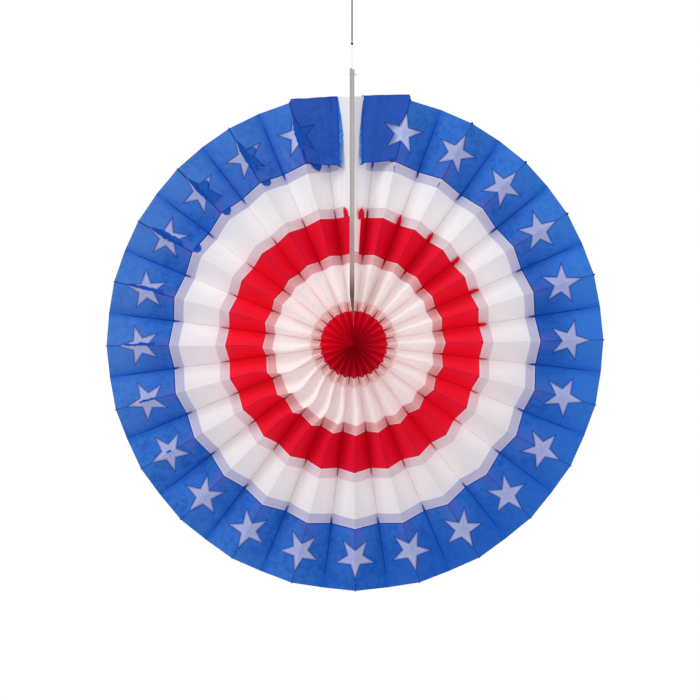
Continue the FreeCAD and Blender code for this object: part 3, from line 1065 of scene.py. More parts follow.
def make_materials(context):
    """The two shared groups and every material of the fan."""
    sizes = sizes_of(context)
    colours = colours_of(context)
    place_group(sizes)
    fibre_group()
    white_material(sizes, colours)
    blue_material(sizes, colours, "Blue tissue")
    blue_material(sizes, colours, "Plain blue tissue", stars=False, inner=sizes.blue_rear_inner)
    blue_material(sizes, colours, "Flap blue tissue", flat=True)
    blue_material(sizes, colours, "Dark blue tissue", 0.7, stars=False)
    red_material(sizes, colours, "Red tissue")
    red_material(sizes, colours, "Rear red tissue", sizes.rear_margin)
    board_material(colours)
    # Painted light: the yarns glow a little, the white thread most, which lifts its shade
    yarn_material("Dark cord", colours.cord, "pale cord", 0.04)
    yarn_material("White thread", colours.thread, "pale thread", 0.45)


# Stage

class PAPERFAN_OT_stage(bpy.types.Operator):
    """Make the camera, the lights, the pale floor and the materials"""

    bl_idname = "paperfan.stage"
    bl_label = "Stage"

    def execute(self, context):
        make_materials(context)
        self.camera(context)
        self.lights(context)
        self.floor()
        context.scene.view_settings.view_transform = "Standard"
        return {"FINISHED"}

    def camera(self, context):
        """Camera at the photograph's angle, aimed at the middle of its frame."""
        target = Vector((-2.6 * MM, 0, -491.4 * MM))
        distance = 3.0
        rise = math.radians(1.5)
        away = Vector((0, -math.cos(rise), math.sin(rise)))
        data = bpy.data.cameras.new("Camera")
        data.lens = 120.5
        data.sensor_width = 36
        camera = new_object("Camera", data)
        camera.location = target + distance * away
        camera.rotation_euler = away.to_track_quat("Z", "Y").to_euler()
        context.scene.camera = camera

    def area_light(self, name, place, watts):
        """Soft square light that shines at the fan."""
        data = bpy.data.lights.new(name, "AREA")
        data.size = 1.8
        data.energy = watts
        light = new_object(name, data)
        light.location = place
        light.rotation_euler = (light.location - FAN_CENTRE).to_track_quat("Z", "Y").to_euler()

    def lights(self, context):
        """Key from the upper left, a weak fill, a key for the rear and a pale room."""
        self.area_light("Key", (-1.7, -2.1, 1.1), 42)
        self.area_light("Fill", (1.8, -2.2, -0.2), 15)
        self.area_light("Rear key", (1.7, 2.1, 1.1), 44)
        world = bpy.data.worlds.new("Pale room")
        world.use_nodes = True
        tree = world.node_tree
        background = tree.nodes["Background"]
        background.inputs["Color"].default_value = (1, 1, 1, 1)
        seen = tree.nodes.new("ShaderNodeLightPath").outputs["Is Camera Ray"]
        feed(tree, background.inputs["Strength"], Num(tree, seen) * 0.60 + 0.40)
        context.scene.world = world

    def floor(self):
        """Round pale floor well under the hanging fan."""
        tree = new_material("Pale floor", (0.9, 0.9, 0.9))
        speckle = noise_value(tree, object_place(tree), 40.0)
        colour = mixed(tree, speckle, (0.88, 0.88, 0.88), (0.92, 0.92, 0.92))
        surface(tree, colour, speckle, 0.7, 0.05)
        shape = bmesh.new()
        bmesh.ops.create_circle(shape, cap_ends=True, segments=96, radius=3.0,
                                matrix=Matrix.Translation((0, 0, -1.6)))
        mesh_object("Floor", shape, "Pale floor")


# Paper

class PAPERFAN_OT_white_sheet(bpy.types.Operator):
    """Make the white pleated sheet"""

    bl_idname = "paperfan.white_sheet"
    bl_label = "White pleated sheet"

    def execute(self, context):
        sizes = sizes_of(context)
        under_red_centre = 14 * MM
        radii = (sizes.centre_hole + under_red_centre, sizes.fan_radius)
        sheet = pleated_sheet(context, "white_sheet", radii, (0, sizes.folds), 0.0, "White tissue")
        finish_piece(sheet, "white_tissue", "white_pleated_fan")
        return {"FINISHED"}


class PAPERFAN_OT_strips(bpy.types.Operator):
    """Make the plain coloured strips on the front and the rear"""

    bl_idname = "paperfan.strips"
    bl_label = "Plain coloured strips"

    def execute(self, context):
        sizes = sizes_of(context)
        margin = sizes.rear_margin
        gap = sizes.layer_gap
        red_ring = (sizes.red_ring_inner, sizes.red_ring_outer)
        rear_red_ring = (sizes.red_ring_inner - margin, sizes.red_ring_outer + margin)
        red_centre = (sizes.centre_hole, sizes.red_centre_outer)
        rear_red_centre = (sizes.centre_hole, sizes.red_centre_outer + margin)
        rear_blue_ring = (sizes.blue_rear_inner, sizes.fan_radius)
        # Radii, layer, material and the pleats that the strip lacks at its two ends
        strips = {
            "red_ring_front": (red_ring, -gap, "Red tissue", 0, 0.5),
            "red_centre_front": (red_centre, -gap, "Red tissue", 0, 0),
            "blue_ring_rear": (rear_blue_ring, gap, "Plain blue tissue", 0.5, 0.5),
            "red_ring_rear": (rear_red_ring, gap, "Rear red tissue", 0, 0.5),
            "red_centre_rear": (rear_red_centre, gap, "Rear red tissue", 0, 0),
        }
        for node, (radii, offset, material, first, last) in strips.items():
            strip = pleated_sheet(context, "tissue_" + node, radii, (first, sizes.folds - last),
                                  offset, material)
            finish_piece(strip, slot_of(material), node)
        return {"FINISHED"}


def star_punch_tree(sizes):
    """Star-shaped punches, one on each forward fold."""
    inputs = fan_inputs(sizes, *STAR_INPUTS)
    inputs.update({"Stars": 23, "Punch depth": 0.12})
    tree, given = geometry_tree("Star punches", inputs)
    star = put(tree, "GeometryNodeCurveStar", {
        "Points": 5, "Inner Radius": given["Star notch"], "Outer Radius": given["Star tip"]})
    face = put(tree, "GeometryNodeFillCurve", {0: star.outputs["Curve"]}).outputs[0]
    rise = vector_of(tree, 0.0, 0.0, given["Punch depth"])
    punch = closed_shape(tree, face, flipped(tree, face), rise)

    line = put(tree, "GeometryNodeMeshLine", {"Count": given["Stars"]})
    number = Num(tree, tree.nodes.new("GeometryNodeInputIndex").outputs[0])
    angle = fold_angle_nodes(given, number * 2 + 2)
    radius = given["Star centre"]
    centre_x, centre_z = gathered_centre(tree, given, radius)
    place = vector_of(tree, centre_x + radius * angle.calc("COSINE"), given["Punch depth"] / 2,
                      centre_z + radius * angle.calc("SINE"))
    points = put(tree, "GeometryNodeSetPosition", {"Geometry": line.outputs[0], "Position": place})
    turn = put(tree, "FunctionNodeEulerToRotation", {
        0: vector_of(tree, math.pi / 2, angle * -1, 0.0)})
    stars = put(tree, "GeometryNodeInstanceOnPoints", {
        "Points": points.outputs[0], "Instance": punch, "Rotation": turn.outputs[0]})
    real = put(tree, "GeometryNodeRealizeInstances", {0: stars.outputs[0]})
    finish_tree(tree, {"Geometry": real.outputs[0]})
    return tree


class PAPERFAN_OT_star_strip(bpy.types.Operator):
    """Make the front blue strip with its punched stars and its two end flaps"""

    bl_idname = "paperfan.star_strip"
    bl_label = "Blue star strip"

    def execute(self, context):
        sizes = sizes_of(context)
        punches = from_nodes("star_punches", star_punch_tree(sizes), {})
        to_flap = 1.75  # pleats from the seam to the strip's own end
        strip = pleated_sheet(
            context, "star_strip_uncut", (sizes.blue_ring_inner, sizes.fan_radius),
            (to_flap, sizes.folds - to_flap), -sizes.layer_gap, "Blue tissue")
        strip = cut_out(strip, punches, "tissue_blue_star_ring_front")
        finish_piece(strip, "blue_tissue", "blue_star_ring_front")
        # Corners from the fan's centre: at the rim and inside, each on the fold and at the seam
        left = self.end_flap(sizes, -1, (
            (-84.4, 310.5), (-23.0, 314.2), (-60.6, 229.6), (-19.6, 226.2)), 9.5)
        finish_piece(evaluated_mesh(left, "blue_end_flap_left"), "blue_tissue")
        right = self.end_flap(sizes, 1, (
            (71.8, 316.6), (9.4, 315.4), (51.4, 233.4), (8.6, 229.2)), -6.0)
        finish_piece(cut_out(right, punches, "blue_end_flap_right"), "blue_tissue")
        bpy.data.objects.remove(punches)
        return {"FINISHED"}

    def end_flap(self, sizes, side, corners, torn):
        """Loose end of the strip, from the last forward fold to its torn edge by the seam.

        The corners and the width of the torn fringe are in millimetres.
        """
        rim_fold, rim_end, inner_fold, inner_end = [Vector((x, 0, z)) * MM for x, z in corners]
        columns, rows, fringe = 40, 44, 5
        shape = bmesh.new()
        single_layer = shape.verts.layers.float.new("single_layer")
        ink = shape.verts.layers.float.new("ink")
        grid = []
        for i in range(columns + fringe + 1):
            across = min(1, i / columns)
            over = max(0, i - columns) / fringe
            line = []
            for j in range(rows + 1):
                up = j / rows
                point = inner_fold.lerp(inner_end, across).lerp(rim_fold.lerp(rim_end, across), up)
                depth = self.bent(sizes, side, point, across, up)
                point.x += torn * MM * over * self.raggedness(side, up)
                vert = shape.verts.new((FAN_CENTRE.x + point.x, depth + 0.8 * MM * over,
                                        FAN_CENTRE.z + point.z))
                vert[single_layer] = min(1, over * 2.5)
                # Dark lines on the cut edges and the fold; painted shade along two soft creases of
                # the left flap
                cut_edge = j in {0, rows} and i <= columns
                fold_edge = i == 0 and (side < 0 or up > 0.6)
                crease = i in {31, 34} and side < 0
                border = i == columns or cut_edge or fold_edge
                vert[ink] = 0.9 if border else 0.35 if crease else 0.0
                line.append(vert)
            grid.append(line)
        for a, b in zip(grid, grid[1:]):
            for j in range(rows):
                square = [a[j], b[j], b[j + 1], a[j + 1]]
                shape.faces.new(square if side < 0 else square[::-1])
        flap = mesh_object("flap", shape, "Flap blue tissue")
        solid = flap.modifiers.new("Paper", "SOLIDIFY")
        solid.thickness = sizes.paper
        solid.offset = -1
        return flap

    def bent(self, sizes, side, point, across, up):
        """Bend the flap's edges at a point, and return its depth."""
        low = 1 - up
        curl = max(0, across - 0.88) / 0.12
        wave = 3.0 * curl ** 2 + 1.4 * wobble(across * 3.0, side * 5.0, 3.0)
        point.z -= (wave + 1.2 * math.sin(math.pi * across)) * MM * low ** 3
        point.z += 0.7 * MM * wobble(across * 4.0, side * 2.0, 8.0) * up ** 3
        corner = 0.06
        rounding = (1 - min(1, across / corner)) * (1 - min(1, low / corner))
        point += Vector((-side * 2.2, 0, -2.2)) * MM * rounding ** 2
        radius = math.hypot(point.x, point.z)
        at_fold = -fold_depth(sizes, min(radius, sizes.fan_radius)) - 0.7 * MM
        at_end = -10 * MM - 9 * MM * low
        depth = at_fold + (at_end - at_fold) * across
        depth += (2 + 5 * low) * MM * math.sin(math.pi * min(1, across * 1.15)) ** 2
        return depth + 1.0 * MM * wobble(across * 6 + side * 9, up * 1.4, 0)

    def raggedness(self, side, up):
        """How far the torn fringe reaches at a height, as a share of its width."""
        rag = wobble(up * 9, side * 4.0, 1.0) + 0.8 * wobble(up * 27, side * 4.0, 5.0)
        bulge = 0.35 + 0.6 * math.exp(-((up - 0.62) / 0.26) ** 2)
        bulge *= min(1, (1 - up) / 0.12 + 0.1)
        return max(0.08, bulge + 0.6 * rag * bulge)


def tab_tree(sizes):
    """Slim tongues of paper that stick out of a strip's edge along its folds."""
    inputs = fan_inputs(sizes)
    inputs.update({
        "Edge radius": 0.2, "Outwards": 1.0, "First fold": 1.0, "Fold step": 2, "Count": 24,
        "Length": 10 * MM, "Width": 2 * MM, "Curl": 1.5 * MM, "Curl at the top": 1.5 * MM,
        "Wider at the top": 1.6, "Swerve": 0.0, "Lift": 1.2 * MM, "Roundness": 0.3, "Aside": 0.0,
        "Thickness": sizes.paper, "Material": "NodeSocketMaterial"})
    tree, given = geometry_tree("Paper tabs", inputs)
    grid = put(tree, "GeometryNodeMeshGrid", {
        "Size X": 1.0, "Size Y": 1.0, "Vertices X": 9, "Vertices Y": 3})
    line = put(tree, "GeometryNodeMeshLine", {"Count": given["Count"]})
    spread = put(tree, "GeometryNodeInstanceOnPoints", {
        "Points": line.outputs[0], "Instance": grid.outputs["Mesh"]})
    number = tree.nodes.new("GeometryNodeInputIndex").outputs[0]
    kept = put(tree, "GeometryNodeStoreNamedAttribute", {
        "Geometry": spread.outputs[0], "Name": "tab", "Value": number},
        data_type="FLOAT", domain="INSTANCE")
    at_origin = put(tree, "GeometryNodeSetPosition", {
        "Geometry": kept.outputs[0], "Position": vector_of(tree, 0.0, 0.0, 0.0)})
    real = put(tree, "GeometryNodeRealizeInstances", {0: at_origin.outputs[0]})
    along, across, _ = parts_of(tree, tree.nodes.new("GeometryNodeInputPosition").outputs[0])
    along = along + 0.5
    tab = Num(tree, put(tree, "GeometryNodeInputNamedAttribute", {"Name": "tab"},
                        data_type="FLOAT").outputs[0])

    def chance(channel):
        """A fixed number from -1 to 1 for each tab."""
        row = given["Seed"] + given["Edge radius"] * 100
        picked = put(tree, "ShaderNodeTexWhiteNoise", {
            "Vector": vector_of(tree, tab + 0.5, row, channel)}, noise_dimensions="3D")
        return signed(Num(tree, picked.outputs["Value"]))

    fold = given["First fold"] + tab * given["Fold step"]
    angle = fold_angle_nodes(given, fold)
    upper_right, spread = 0.89, 0.12
    near_top = bell(fold / given["Folds"], upper_right, spread)
    length = given["Length"] * (1 + 0.25 * chance(1.0)) * (1 + 0.25 * near_top)
    radius = given["Edge radius"] + given["Outwards"] * length * (along - 0.12)
    roundness = given["Roundness"]
    taper = (1 - along.power(2 + 4 * roundness)).calc("MAXIMUM", 0.06)
    taper = taper * (1 - 0.6 * along * (1 - roundness))
    curl = given["Curl"] * chance(2.0) + given["Curl at the top"] * chance(3.0) * near_top
    curl = curl * along.power(2)
    side = given["Width"] * (1 + near_top * given["Wider at the top"]) * across * taper
    side = side + curl + given["Aside"] + given["Swerve"] * along.power(2)
    depth, chord = fold_depth_nodes(given, radius)
    rear = fold.calc("MODULO", 2)
    slope = depth * 2 / chord
    x, y, z = fold_point_nodes(tree, given, fold, radius)
    y = y + slope * side.calc("ABSOLUTE") * (1 - rear * 2)
    y = y - given["Lift"] * (0.45 + along * (1 + 0.5 * chance(5.0)) * (1 + near_top * 2))
    x = x - side * angle.calc("SINE")
    z = z + side * angle.calc("COSINE")
    moved = put(tree, "GeometryNodeSetPosition", {
        "Geometry": real.outputs[0], "Position": vector_of(tree, x, y, z)})
    paper = thick_paper(tree, moved.outputs[0], given["Thickness"])
    finish_geometry(tree, paper, given["Material"])
    return tree


def tab_row(material, edge, outwards, first, count, length, width, roundness=0.0, aside=0.0,
            wider=1.6, lift=1.2, swerve=0.0):
    """Inputs of a row of tabs; all lengths but the radius of the edge are in millimetres."""
    return {
        "Material": bpy.data.materials[material], "Edge radius": edge, "Outwards": outwards,
        "First fold": float(first), "Count": count, "Length": length * MM, "Width": width * MM,
        "Roundness": roundness, "Aside": aside * MM, "Wider at the top": wider, "Lift": lift * MM,
        "Swerve": swerve * MM}


class PAPERFAN_OT_tabs(bpy.types.Operator):
    """Make the small tongues and crumpled tabs at the strips' edges"""

    bl_idname = "paperfan.tabs"
    bl_label = "Edge tabs"

    def execute(self, context):
        sizes = sizes_of(context)
        tree = tab_tree(sizes)
        red, blue = "Red tissue", "Dark blue tissue"
        red_edge, blue_edge = sizes.red_ring_outer, sizes.blue_ring_inner
        out, inwards = 1.0, -1.0
        rows = {
            "valley_tabs_blue": tab_row(blue, blue_edge, inwards, 1, 24, 9.5, 2.6, 0.3, wider=0.2),
            "crest_dashes_blue": tab_row(
                blue, blue_edge - 6 * MM, inwards, 44, 2, 7.0, 1.0, 0.8, 0.6, wider=0.2),
            "valley_tabs_red_outer": tab_row(red, red_edge, out, 1, 24, 10.5, 1.5, 0.7),
            "red_hooks_right": tab_row(
                red, red_edge - 2 * MM, out, 37, 5, 12.0, 4.5, 0.9, wider=0.2, lift=3.0),
            "seam_tab_left": tab_row(
                red, red_edge - 4 * MM, out, 0, 1, 17.0, 6.0, 1.0, 4.2, lift=2.5, swerve=4.5),
            "seam_tab_right": tab_row(
                red, red_edge - 2 * MM, out, 48, 1, 12.0, 4.4, 1.0, -9.0, lift=2.5),
            "valley_tabs_red_inner": tab_row(red, sizes.red_ring_inner, inwards, 1, 24, 10.5, 1.4),
            "valley_tabs_centre": tab_row(red, sizes.red_centre_outer, out, 1, 24, 8.0, 1.0, 0.2),
            "rim_tips": tab_row(blue, sizes.fan_radius, out, 2, 23, 1.6, 1.6, 0.2),
            "crumpled_tabs": tab_row(blue, blue_edge, inwards, 2, 1, 16.5, 15.0, 0.45, -13.5),
            "crumpled_tabs_left": tab_row(blue, blue_edge, inwards, 4, 3, 10.5, 12.0, 0.7, -7.5),
        }
        for name, row in rows.items():
            finish_piece(from_nodes(name, tree, row), slot_of(row["Material"].name))
        return {"FINISHED"}


class PAPERFAN_OT_chads(bpy.types.Operator):
    """Make the star pieces at the left that were cut but still hang on their folds"""

    bl_idname = "paperfan.chads"
    bl_label = "Hanging star pieces"

    def execute(self, context):
        sizes = sizes_of(context)
        # Reach of each fold's piece, above and below the star's middle
        uncut = {2: (40, 40), 4: (17, 40)}
        crumpled = {2: (7, 9), 4: (7, 9), 6: (15, 19), 8: (7, 8), 10: (4, 5), 12: (3, 4),
                    14: (2, 2), 16: (1.5, 1.5)}
        self.star_pieces(sizes, "uncut_half_stars", uncut, False, "Blue tissue")
        self.star_pieces(sizes, "crumpled_star_pieces", crumpled, True, "Dark blue tissue")
        return {"FINISHED"}

    def star_pieces(self, sizes, name, reaches, crumpled, material):
        """The star pieces of one kind, as one mesh."""
        shape = bmesh.new()
        shape.verts.layers.float.new("ink")
        for fold, reach in reaches.items():
            self.half_star(shape, sizes, fold, reach, crumpled)
        bmesh.ops.recalc_face_normals(shape, faces=shape.faces)
        finish_piece(mesh_object(name, shape, material), "blue_tissue")

    def half_star(self, shape, sizes, fold, reach, crumpled):
        """Star piece beside its fold, as wide as the reach in millimetres above and below."""
        raised = 1.6 if crumpled else 0.3
        length = {12: 0.75, 14: 0.4, 16: 0.12}.get(fold, 0.95)
        angle = fold_angle(sizes, fold)
        radial = Vector((math.cos(angle), 0, math.sin(angle)))
        beside = Vector((math.sin(angle), 0, -math.cos(angle)))
        outward = Vector((0, -1, 0))
        chord = 2 * sizes.star_centre * math.sin(pitch_of(sizes) / 2)
        slope = 0.15 if fold == 2 and crumpled else math.acos(chord / sizes.pleat_width)
        across = beside * math.cos(slope) - outward * math.sin(slope)
        facing = beside * math.sin(slope) + outward * math.cos(slope)
        start = mountain_point(sizes, fold, sizes.star_centre)
        ink = shape.verts.layers.float["ink"]
        steps, rows = 64, 10
        front = []
        for i in range(steps + 1):
            along = sizes.star_tip * (2 * i / steps - 1) * length
            limit = (reach[0] if along > 0 else reach[1]) * MM
            inner_edge = 0.0
            if crumpled:
                limit *= 0.85 + 0.5 * wobble(along * 130, fold * 1.7, 4.0)
                limit += 0.7 * MM * wobble(along * 600, fold * 1.7, 4.0)
                reach_back = (3.4 + 1.6 * wobble(along * 300, fold * 2.9, 9.0)) * (fold < 9)
                over = 0.6 + reach_back * math.sin(math.pi * i / steps)
                inner_edge = (wobble(along * 500, fold * 3.3, 2.0) * 0.8 - over) * MM
            width = min(self.half_width(sizes, along), max(0.5 * MM, limit)) / math.cos(slope)
            line = []
            for j in range(rows + 1):
                share = j / rows
                side = width * share + inner_edge * (1 - share)
                crumple = wobble(along * 190, share * 3.0, fold * 7.1) * 1.3 * crumpled
                lift = raised * (0.4 + 0.9 * math.sin(math.pi * share)) + crumple
                vert = shape.verts.new(start + radial * along + across * side
                                       + facing * max(0.35, lift) * MM)
                vert[ink] = 0.9 if crumpled and j in {0, rows} else 0.0
                line.append(vert)
            front.append(line)
        self.close_sheet(shape, front, facing * 0.06 * MM)

    def close_sheet(self, shape, front, thickness):
        """Faces of a thin closed sheet behind a grid of points."""
        steps, rows = len(front) - 1, len(front[0]) - 1
        back = [[shape.verts.new(vert.co - thickness) for vert in line] for line in front]
        for grid, direction in ((front, 1), (back, -1)):
            for i in range(steps):
                for j in range(rows):
                    corners = [grid[i][j], grid[i + 1][j], grid[i + 1][j + 1], grid[i][j + 1]]
                    shape.faces.new(corners[::direction])
        border = ([(i, 0) for i in range(steps)] + [(steps, j) for j in range(rows)]
                  + [(i, rows) for i in range(steps, 0, -1)] + [(0, j) for j in range(rows, 0, -1)])
        for (i, j), (k, m) in zip(border, border[1:] + border[:1]):
            shape.faces.new([front[i][j], back[i][j], back[k][m], front[k][m]])

    def half_width(self, sizes, along):
        """Distance from a star's axis to its outline, at a place along the axis."""
        corners = []
        for corner in range(6):
            radius = sizes.star_notch if corner % 2 else sizes.star_tip
            turn = math.pi * corner / 5
            corners.append((radius * math.cos(turn), radius * math.sin(turn)))
        widest = 0.4 * MM
        for (x0, w0), (x1, w1) in zip(corners, corners[1:]):
            if min(x0, x1) <= along <= max(x0, x1) and x0 != x1:
                widest = max(widest, w0 + (w1 - w0) * (along - x0) / (x1 - x0))
        return widest


# Cards, threads and cord

class PAPERFAN_OT_cards(bpy.types.Operator):
    """Make the two end cards that stand edge-on at the seam"""

    bl_idname = "paperfan.cards"
    bl_label = "End cards"

    def execute(self, context):
        sizes = sizes_of(context)
        for side, node in ((-1, "end_card_left"), (1, "end_card_right")):
            finish_piece(self.card(sizes, side, node), "grey_card", node)
        return {"FINISHED"}

    def card(self, sizes, side, node):
        """Card that narrows to nothing towards the gathered middle, with its hole and bevels."""
        low, high = [Vector(corner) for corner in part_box(node)]
        depth = (high.y - low.y) / 2
        top = high.z - FAN_CENTRE.z
        end, taper = sizes.card_end, sizes.card_taper
        start = end - 2.2 * MM
        steps = 24
        heights = [start + (taper - start) * share for share in (0, 0.06, 0.14, 0.28, 0.46, 0.7, 1)]
        heights += [taper + (top - taper) * i / steps for i in range(1, steps + 1)]
        slant_at_top = -5.0 * MM if side > 0 else -3.4 * MM
        shape = bmesh.new()
        rings = []
        for height in heights:
            share = min(1, (height + 2.4 * MM - end) / (taper - end))
            middle = FAN_CENTRE.x + sizes.gather_shift[0] * (1 - height / sizes.fan_radius)
            outer = middle + (side * (sizes.card_face + 0.05 * MM) - middle) * share
            inner = middle + (side * 0.02 * MM - middle) * share
            wave = 0.12 * MM * wobble(0, side * 3.0, height * 30)
            z = FAN_CENTRE.z + height + (slant_at_top if height == heights[-1] else 0)
            rings.append([shape.verts.new((x + wave, y, z)) for x, y in (
                (outer, -depth), (inner, -depth), (inner, depth), (outer, depth))])
        for a, b in zip(rings, rings[1:]):
            for i in range(4):
                j = (i + 1) % 4
                shape.faces.new([a[i], a[j], b[j], b[i]])
        shape.faces.new(rings[0][::-1])
        shape.faces.new(rings[-1])
        bmesh.ops.recalc_face_normals(shape, faces=shape.faces)
        card = self.drilled(mesh_object("board_" + node, shape, "Grey board"))
        bevel = card.modifiers.new("Worn edges", "BEVEL")
        bevel.width = 0.25 * MM
        bevel.segments = 2
        bevel.limit_method = "ANGLE"
        return card

    def drilled(self, card):
        """The card with the hole for its thread."""
        hole_radius = 0.7 * MM
        shape = bmesh.new()
        turn = Matrix.Translation(THREAD_HOLE) @ Matrix.Rotation(math.pi / 2, 4, "Y")
        bmesh.ops.create_cone(shape, cap_ends=True, segments=20, radius1=hole_radius,
                              radius2=hole_radius, depth=30 * MM, matrix=turn)
        drill = mesh_object("drill", shape)
        card = cut_out(card, drill, card.name)
        bpy.data.objects.remove(drill)
        return card


def cord_tree():
    """Twisted cord of three plies along a route."""
    tree, given = geometry_tree("Twisted cord", {
        "Route": "NodeSocketObject", "Diameter": 1.8 * MM, "Twist length": 6 * MM, "Plies": 3,
        "Material": "NodeSocketMaterial"})
    route = put(tree, "GeometryNodeObjectInfo", {"Object": given["Route"]})
    curve = put(tree, "GeometryNodeResampleCurve", {
        "Curve": route.outputs["Geometry"], "Length": given["Diameter"] * 0.35}, mode="LENGTH")
    walked = Num(tree, tree.nodes.new("GeometryNodeSplineParameter").outputs["Length"])
    tilted = put(tree, "GeometryNodeSetCurveTilt", {
        "Curve": curve.outputs[0], "Tilt": walked / given["Twist length"] * (2 * math.pi)})
    circle = put(tree, "GeometryNodeCurvePrimitiveCircle", {"Resolution": 24, "Radius": 1.0})
    x, y, _ = parts_of(tree, tree.nodes.new("GeometryNodeInputPosition").outputs[0])
    around = y.calc("ARCTAN2", x)
    lobes = (around * given["Plies"] / 2).calc("COSINE").calc("ABSOLUTE")
    radius = given["Diameter"] / 2 * (0.80 + lobes * 0.20)
    profile = put(tree, "GeometryNodeSetPosition", {
        "Geometry": circle.outputs[0],
        "Position": vector_of(
            tree, radius * around.calc("COSINE"), radius * around.calc("SINE"), 0.0)})
    tube = put(tree, "GeometryNodeCurveToMesh", {
        "Curve": tilted.outputs[0], "Profile Curve": profile.outputs[0], "Fill Caps": True})
    real = put(tree, "GeometryNodeRealizeInstances", {0: tube.outputs[0]})
    painted = put(tree, "GeometryNodeSetMaterial", {
        "Geometry": real.outputs[0], "Material": given["Material"]})
    finish_tree(tree, {"Geometry": painted.outputs[0]})
    return tree


def nurbs_curve(name, points, order, steps, closed=False):
    """Smooth curve that follows some points, from end to end or round and round."""
    data = bpy.data.curves.new(name, "CURVE")
    data.dimensions = "3D"
    spline = data.splines.new("NURBS")
    spline.points.add(len(points) - 1)
    for slot, point in zip(spline.points, points):
        slot.co = (*point, 1.0)
    spline.order_u = order
    spline.use_cyclic_u = closed
    spline.use_endpoint_u = not closed
    spline.resolution_u = steps
    return new_object(name, data)


def twisted_cord(name, points, diameter, twist, plies, material):
    """Twisted cord on a route, with the points that it follows."""
    route = nurbs_curve(name + "_route", points, 3, 16)
    depsgraph = bpy.context.evaluated_depsgraph_get()
    line = bpy.data.meshes.new_from_object(route.evaluated_get(depsgraph), depsgraph=depsgraph)
    path = [tuple(vertex.co) for vertex in line.vertices]
    tree = bpy.data.node_groups.get("Twisted cord") or cord_tree()
    cord = from_nodes(name, tree, {"Route": route, "Diameter": diameter, "Twist length": twist,
                                   "Plies": plies, "Material": bpy.data.materials[material]})
    cord.data.shade_smooth()
    bpy.data.objects.remove(route)
    bpy.data.meshes.remove(line)
    return cord, path


def tied_knot(name, centre, size, thickness, material, turn=0.0):
    """Small overhand knot that fills a ball of the given size."""
    scale = (size - thickness) / 6
    count = 24
    points = []
    for i in range(count):
        t = 2 * math.pi * i / count
        x, y, z = Matrix.Rotation(turn, 3, "Z") @ Vector((
            math.sin(t) + 2 * math.sin(2 * t), math.cos(t) - 2 * math.cos(2 * t),
            -1.9 * math.sin(3 * t)))
        points.append(centre + Vector((x, z, y)) * scale)
    curve = nurbs_curve(name + "_curve", points, 4, 6, closed=True)
    curve.data.bevel_depth = thickness / 2
    curve.data.bevel_resolution = 4
    curve.data.materials.append(bpy.data.materials[material])
    return evaluated_mesh(curve, name)


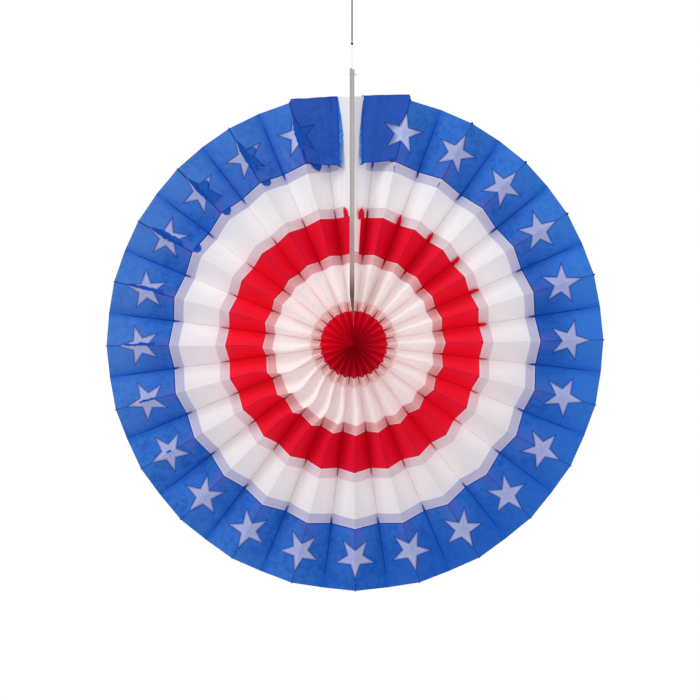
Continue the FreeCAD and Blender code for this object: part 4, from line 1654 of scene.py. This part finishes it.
class PAPERFAN_OT_cord(bpy.types.Operator):
    """Make the threads, the hanging cord and their knots"""

    bl_idname = "paperfan.cord"
    bl_label = "Threads and cord"

    def execute(self, context):
        self.gathering_thread(context)
        self.card_thread()

        knot = tied_knot("knot_at_thread", CORD_KNOT, 3.9 * MM, 1.7 * MM, "Dark cord")
        finish_piece(knot, "dark_cord", "cord_knot")
        thread, path = twisted_cord(
            "white_thread_up", THREAD_ROUTE, 0.8 * MM, 3 * MM, 2, "White thread")
        finish_piece(thread, "white_thread", "hanging_thread")

        loop = tied_knot("knot_of_loop", LOOP_KNOT, 6.4 * MM, 2.6 * MM, "Dark cord", 0.4)
        finish_piece(loop, "dark_cord", "loop_knot")
        cord, path = twisted_cord("dark_cord_up", CORD_ROUTE, 1.8 * MM, 7 * MM, 3, "Dark cord")
        finish_piece(cord, "dark_cord", "hanging_cord")
        return {"FINISHED"}

    def gathering_thread(self, context):
        """Small tie of the gathered pleats, just behind the middle."""
        gathered = FAN_CENTRE + Vector(sizes_of(context).gather_shift)
        behind = Vector((0, 3 * MM, 0))
        tie = tied_knot("gathering_thread", gathered + behind, 2.6 * MM, 0.9 * MM, "White thread")
        finish_piece(tie, "white_thread", "centre_tie")

    def card_thread(self):
        """Thread through the cards, with a stopper knot outside each."""
        low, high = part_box("card_thread")
        left = low[0] + 2.1 * MM
        right = high[0] - 1.4 * MM
        points = [(left + (right - left) * i / 3, 0, THREAD_HOLE.z) for i in range(4)]
        thread, _ = twisted_cord(
            "thread_through_cards", points, 0.8 * MM, 3 * MM, 2, "White thread")
        finish_piece(thread, "white_thread", "card_thread")
        for name, x, size in (("stopper_knot_left", left, 1.7), ("stopper_knot_right", right, 3.2)):
            place = Vector((x, 0, THREAD_HOLE.z))
            stopper = tied_knot(name, place, size * MM, 1.1 * MM, "White thread")
            finish_piece(stopper, "white_thread")


OPERATORS = (
    PAPERFAN_OT_stage,
    PAPERFAN_OT_cord,
    PAPERFAN_OT_white_sheet,
    PAPERFAN_OT_strips,
    PAPERFAN_OT_star_strip,
    PAPERFAN_OT_tabs,
    PAPERFAN_OT_chads,
    PAPERFAN_OT_cards,
)


class PAPERFAN_PT_panel(bpy.types.Panel):
    """Sizes, colours and pieces of the paper fan"""

    bl_idname = "PAPERFAN_PT_panel"
    bl_label = "Paper fan medallion"
    bl_space_type = "VIEW_3D"
    bl_region_type = "UI"
    bl_category = "Paper fan"

    def draw(self, context):
        """List the sizes, the colours and the operators."""
        for group in (sizes_of(context), colours_of(context)):
            box = self.layout.box()
            for name in group.bl_rna.properties.keys():
                if name not in {"rna_type", "name"}:
                    box.prop(group, name)
        for operator in OPERATORS:
            self.layout.operator(operator.bl_idname)


CLASSES = (PaperFanSizes, PaperFanColours) + OPERATORS + (PAPERFAN_PT_panel,)


def register():
    """Add the fan's sizes, colours, operators and panel."""
    for item in CLASSES:
        bpy.utils.register_class(item)
    bpy.types.Scene.paper_fan_sizes = bpy.props.PointerProperty(type=PaperFanSizes)
    bpy.types.Scene.paper_fan_colours = bpy.props.PointerProperty(type=PaperFanColours)


def unregister():
    """Take away what register added."""
    del bpy.types.Scene.paper_fan_colours
    del bpy.types.Scene.paper_fan_sizes
    for item in reversed(CLASSES):
        bpy.utils.unregister_class(item)


def main():
    """Build the fan."""
    register()
    bpy.ops.paperfan.stage()
    bpy.ops.paperfan.cord()
    bpy.ops.paperfan.white_sheet()
    bpy.ops.paperfan.strips()
    bpy.ops.paperfan.star_strip()
    bpy.ops.paperfan.tabs()
    bpy.ops.paperfan.chads()
    bpy.ops.paperfan.cards()


if __name__ == "__main__":
    main()
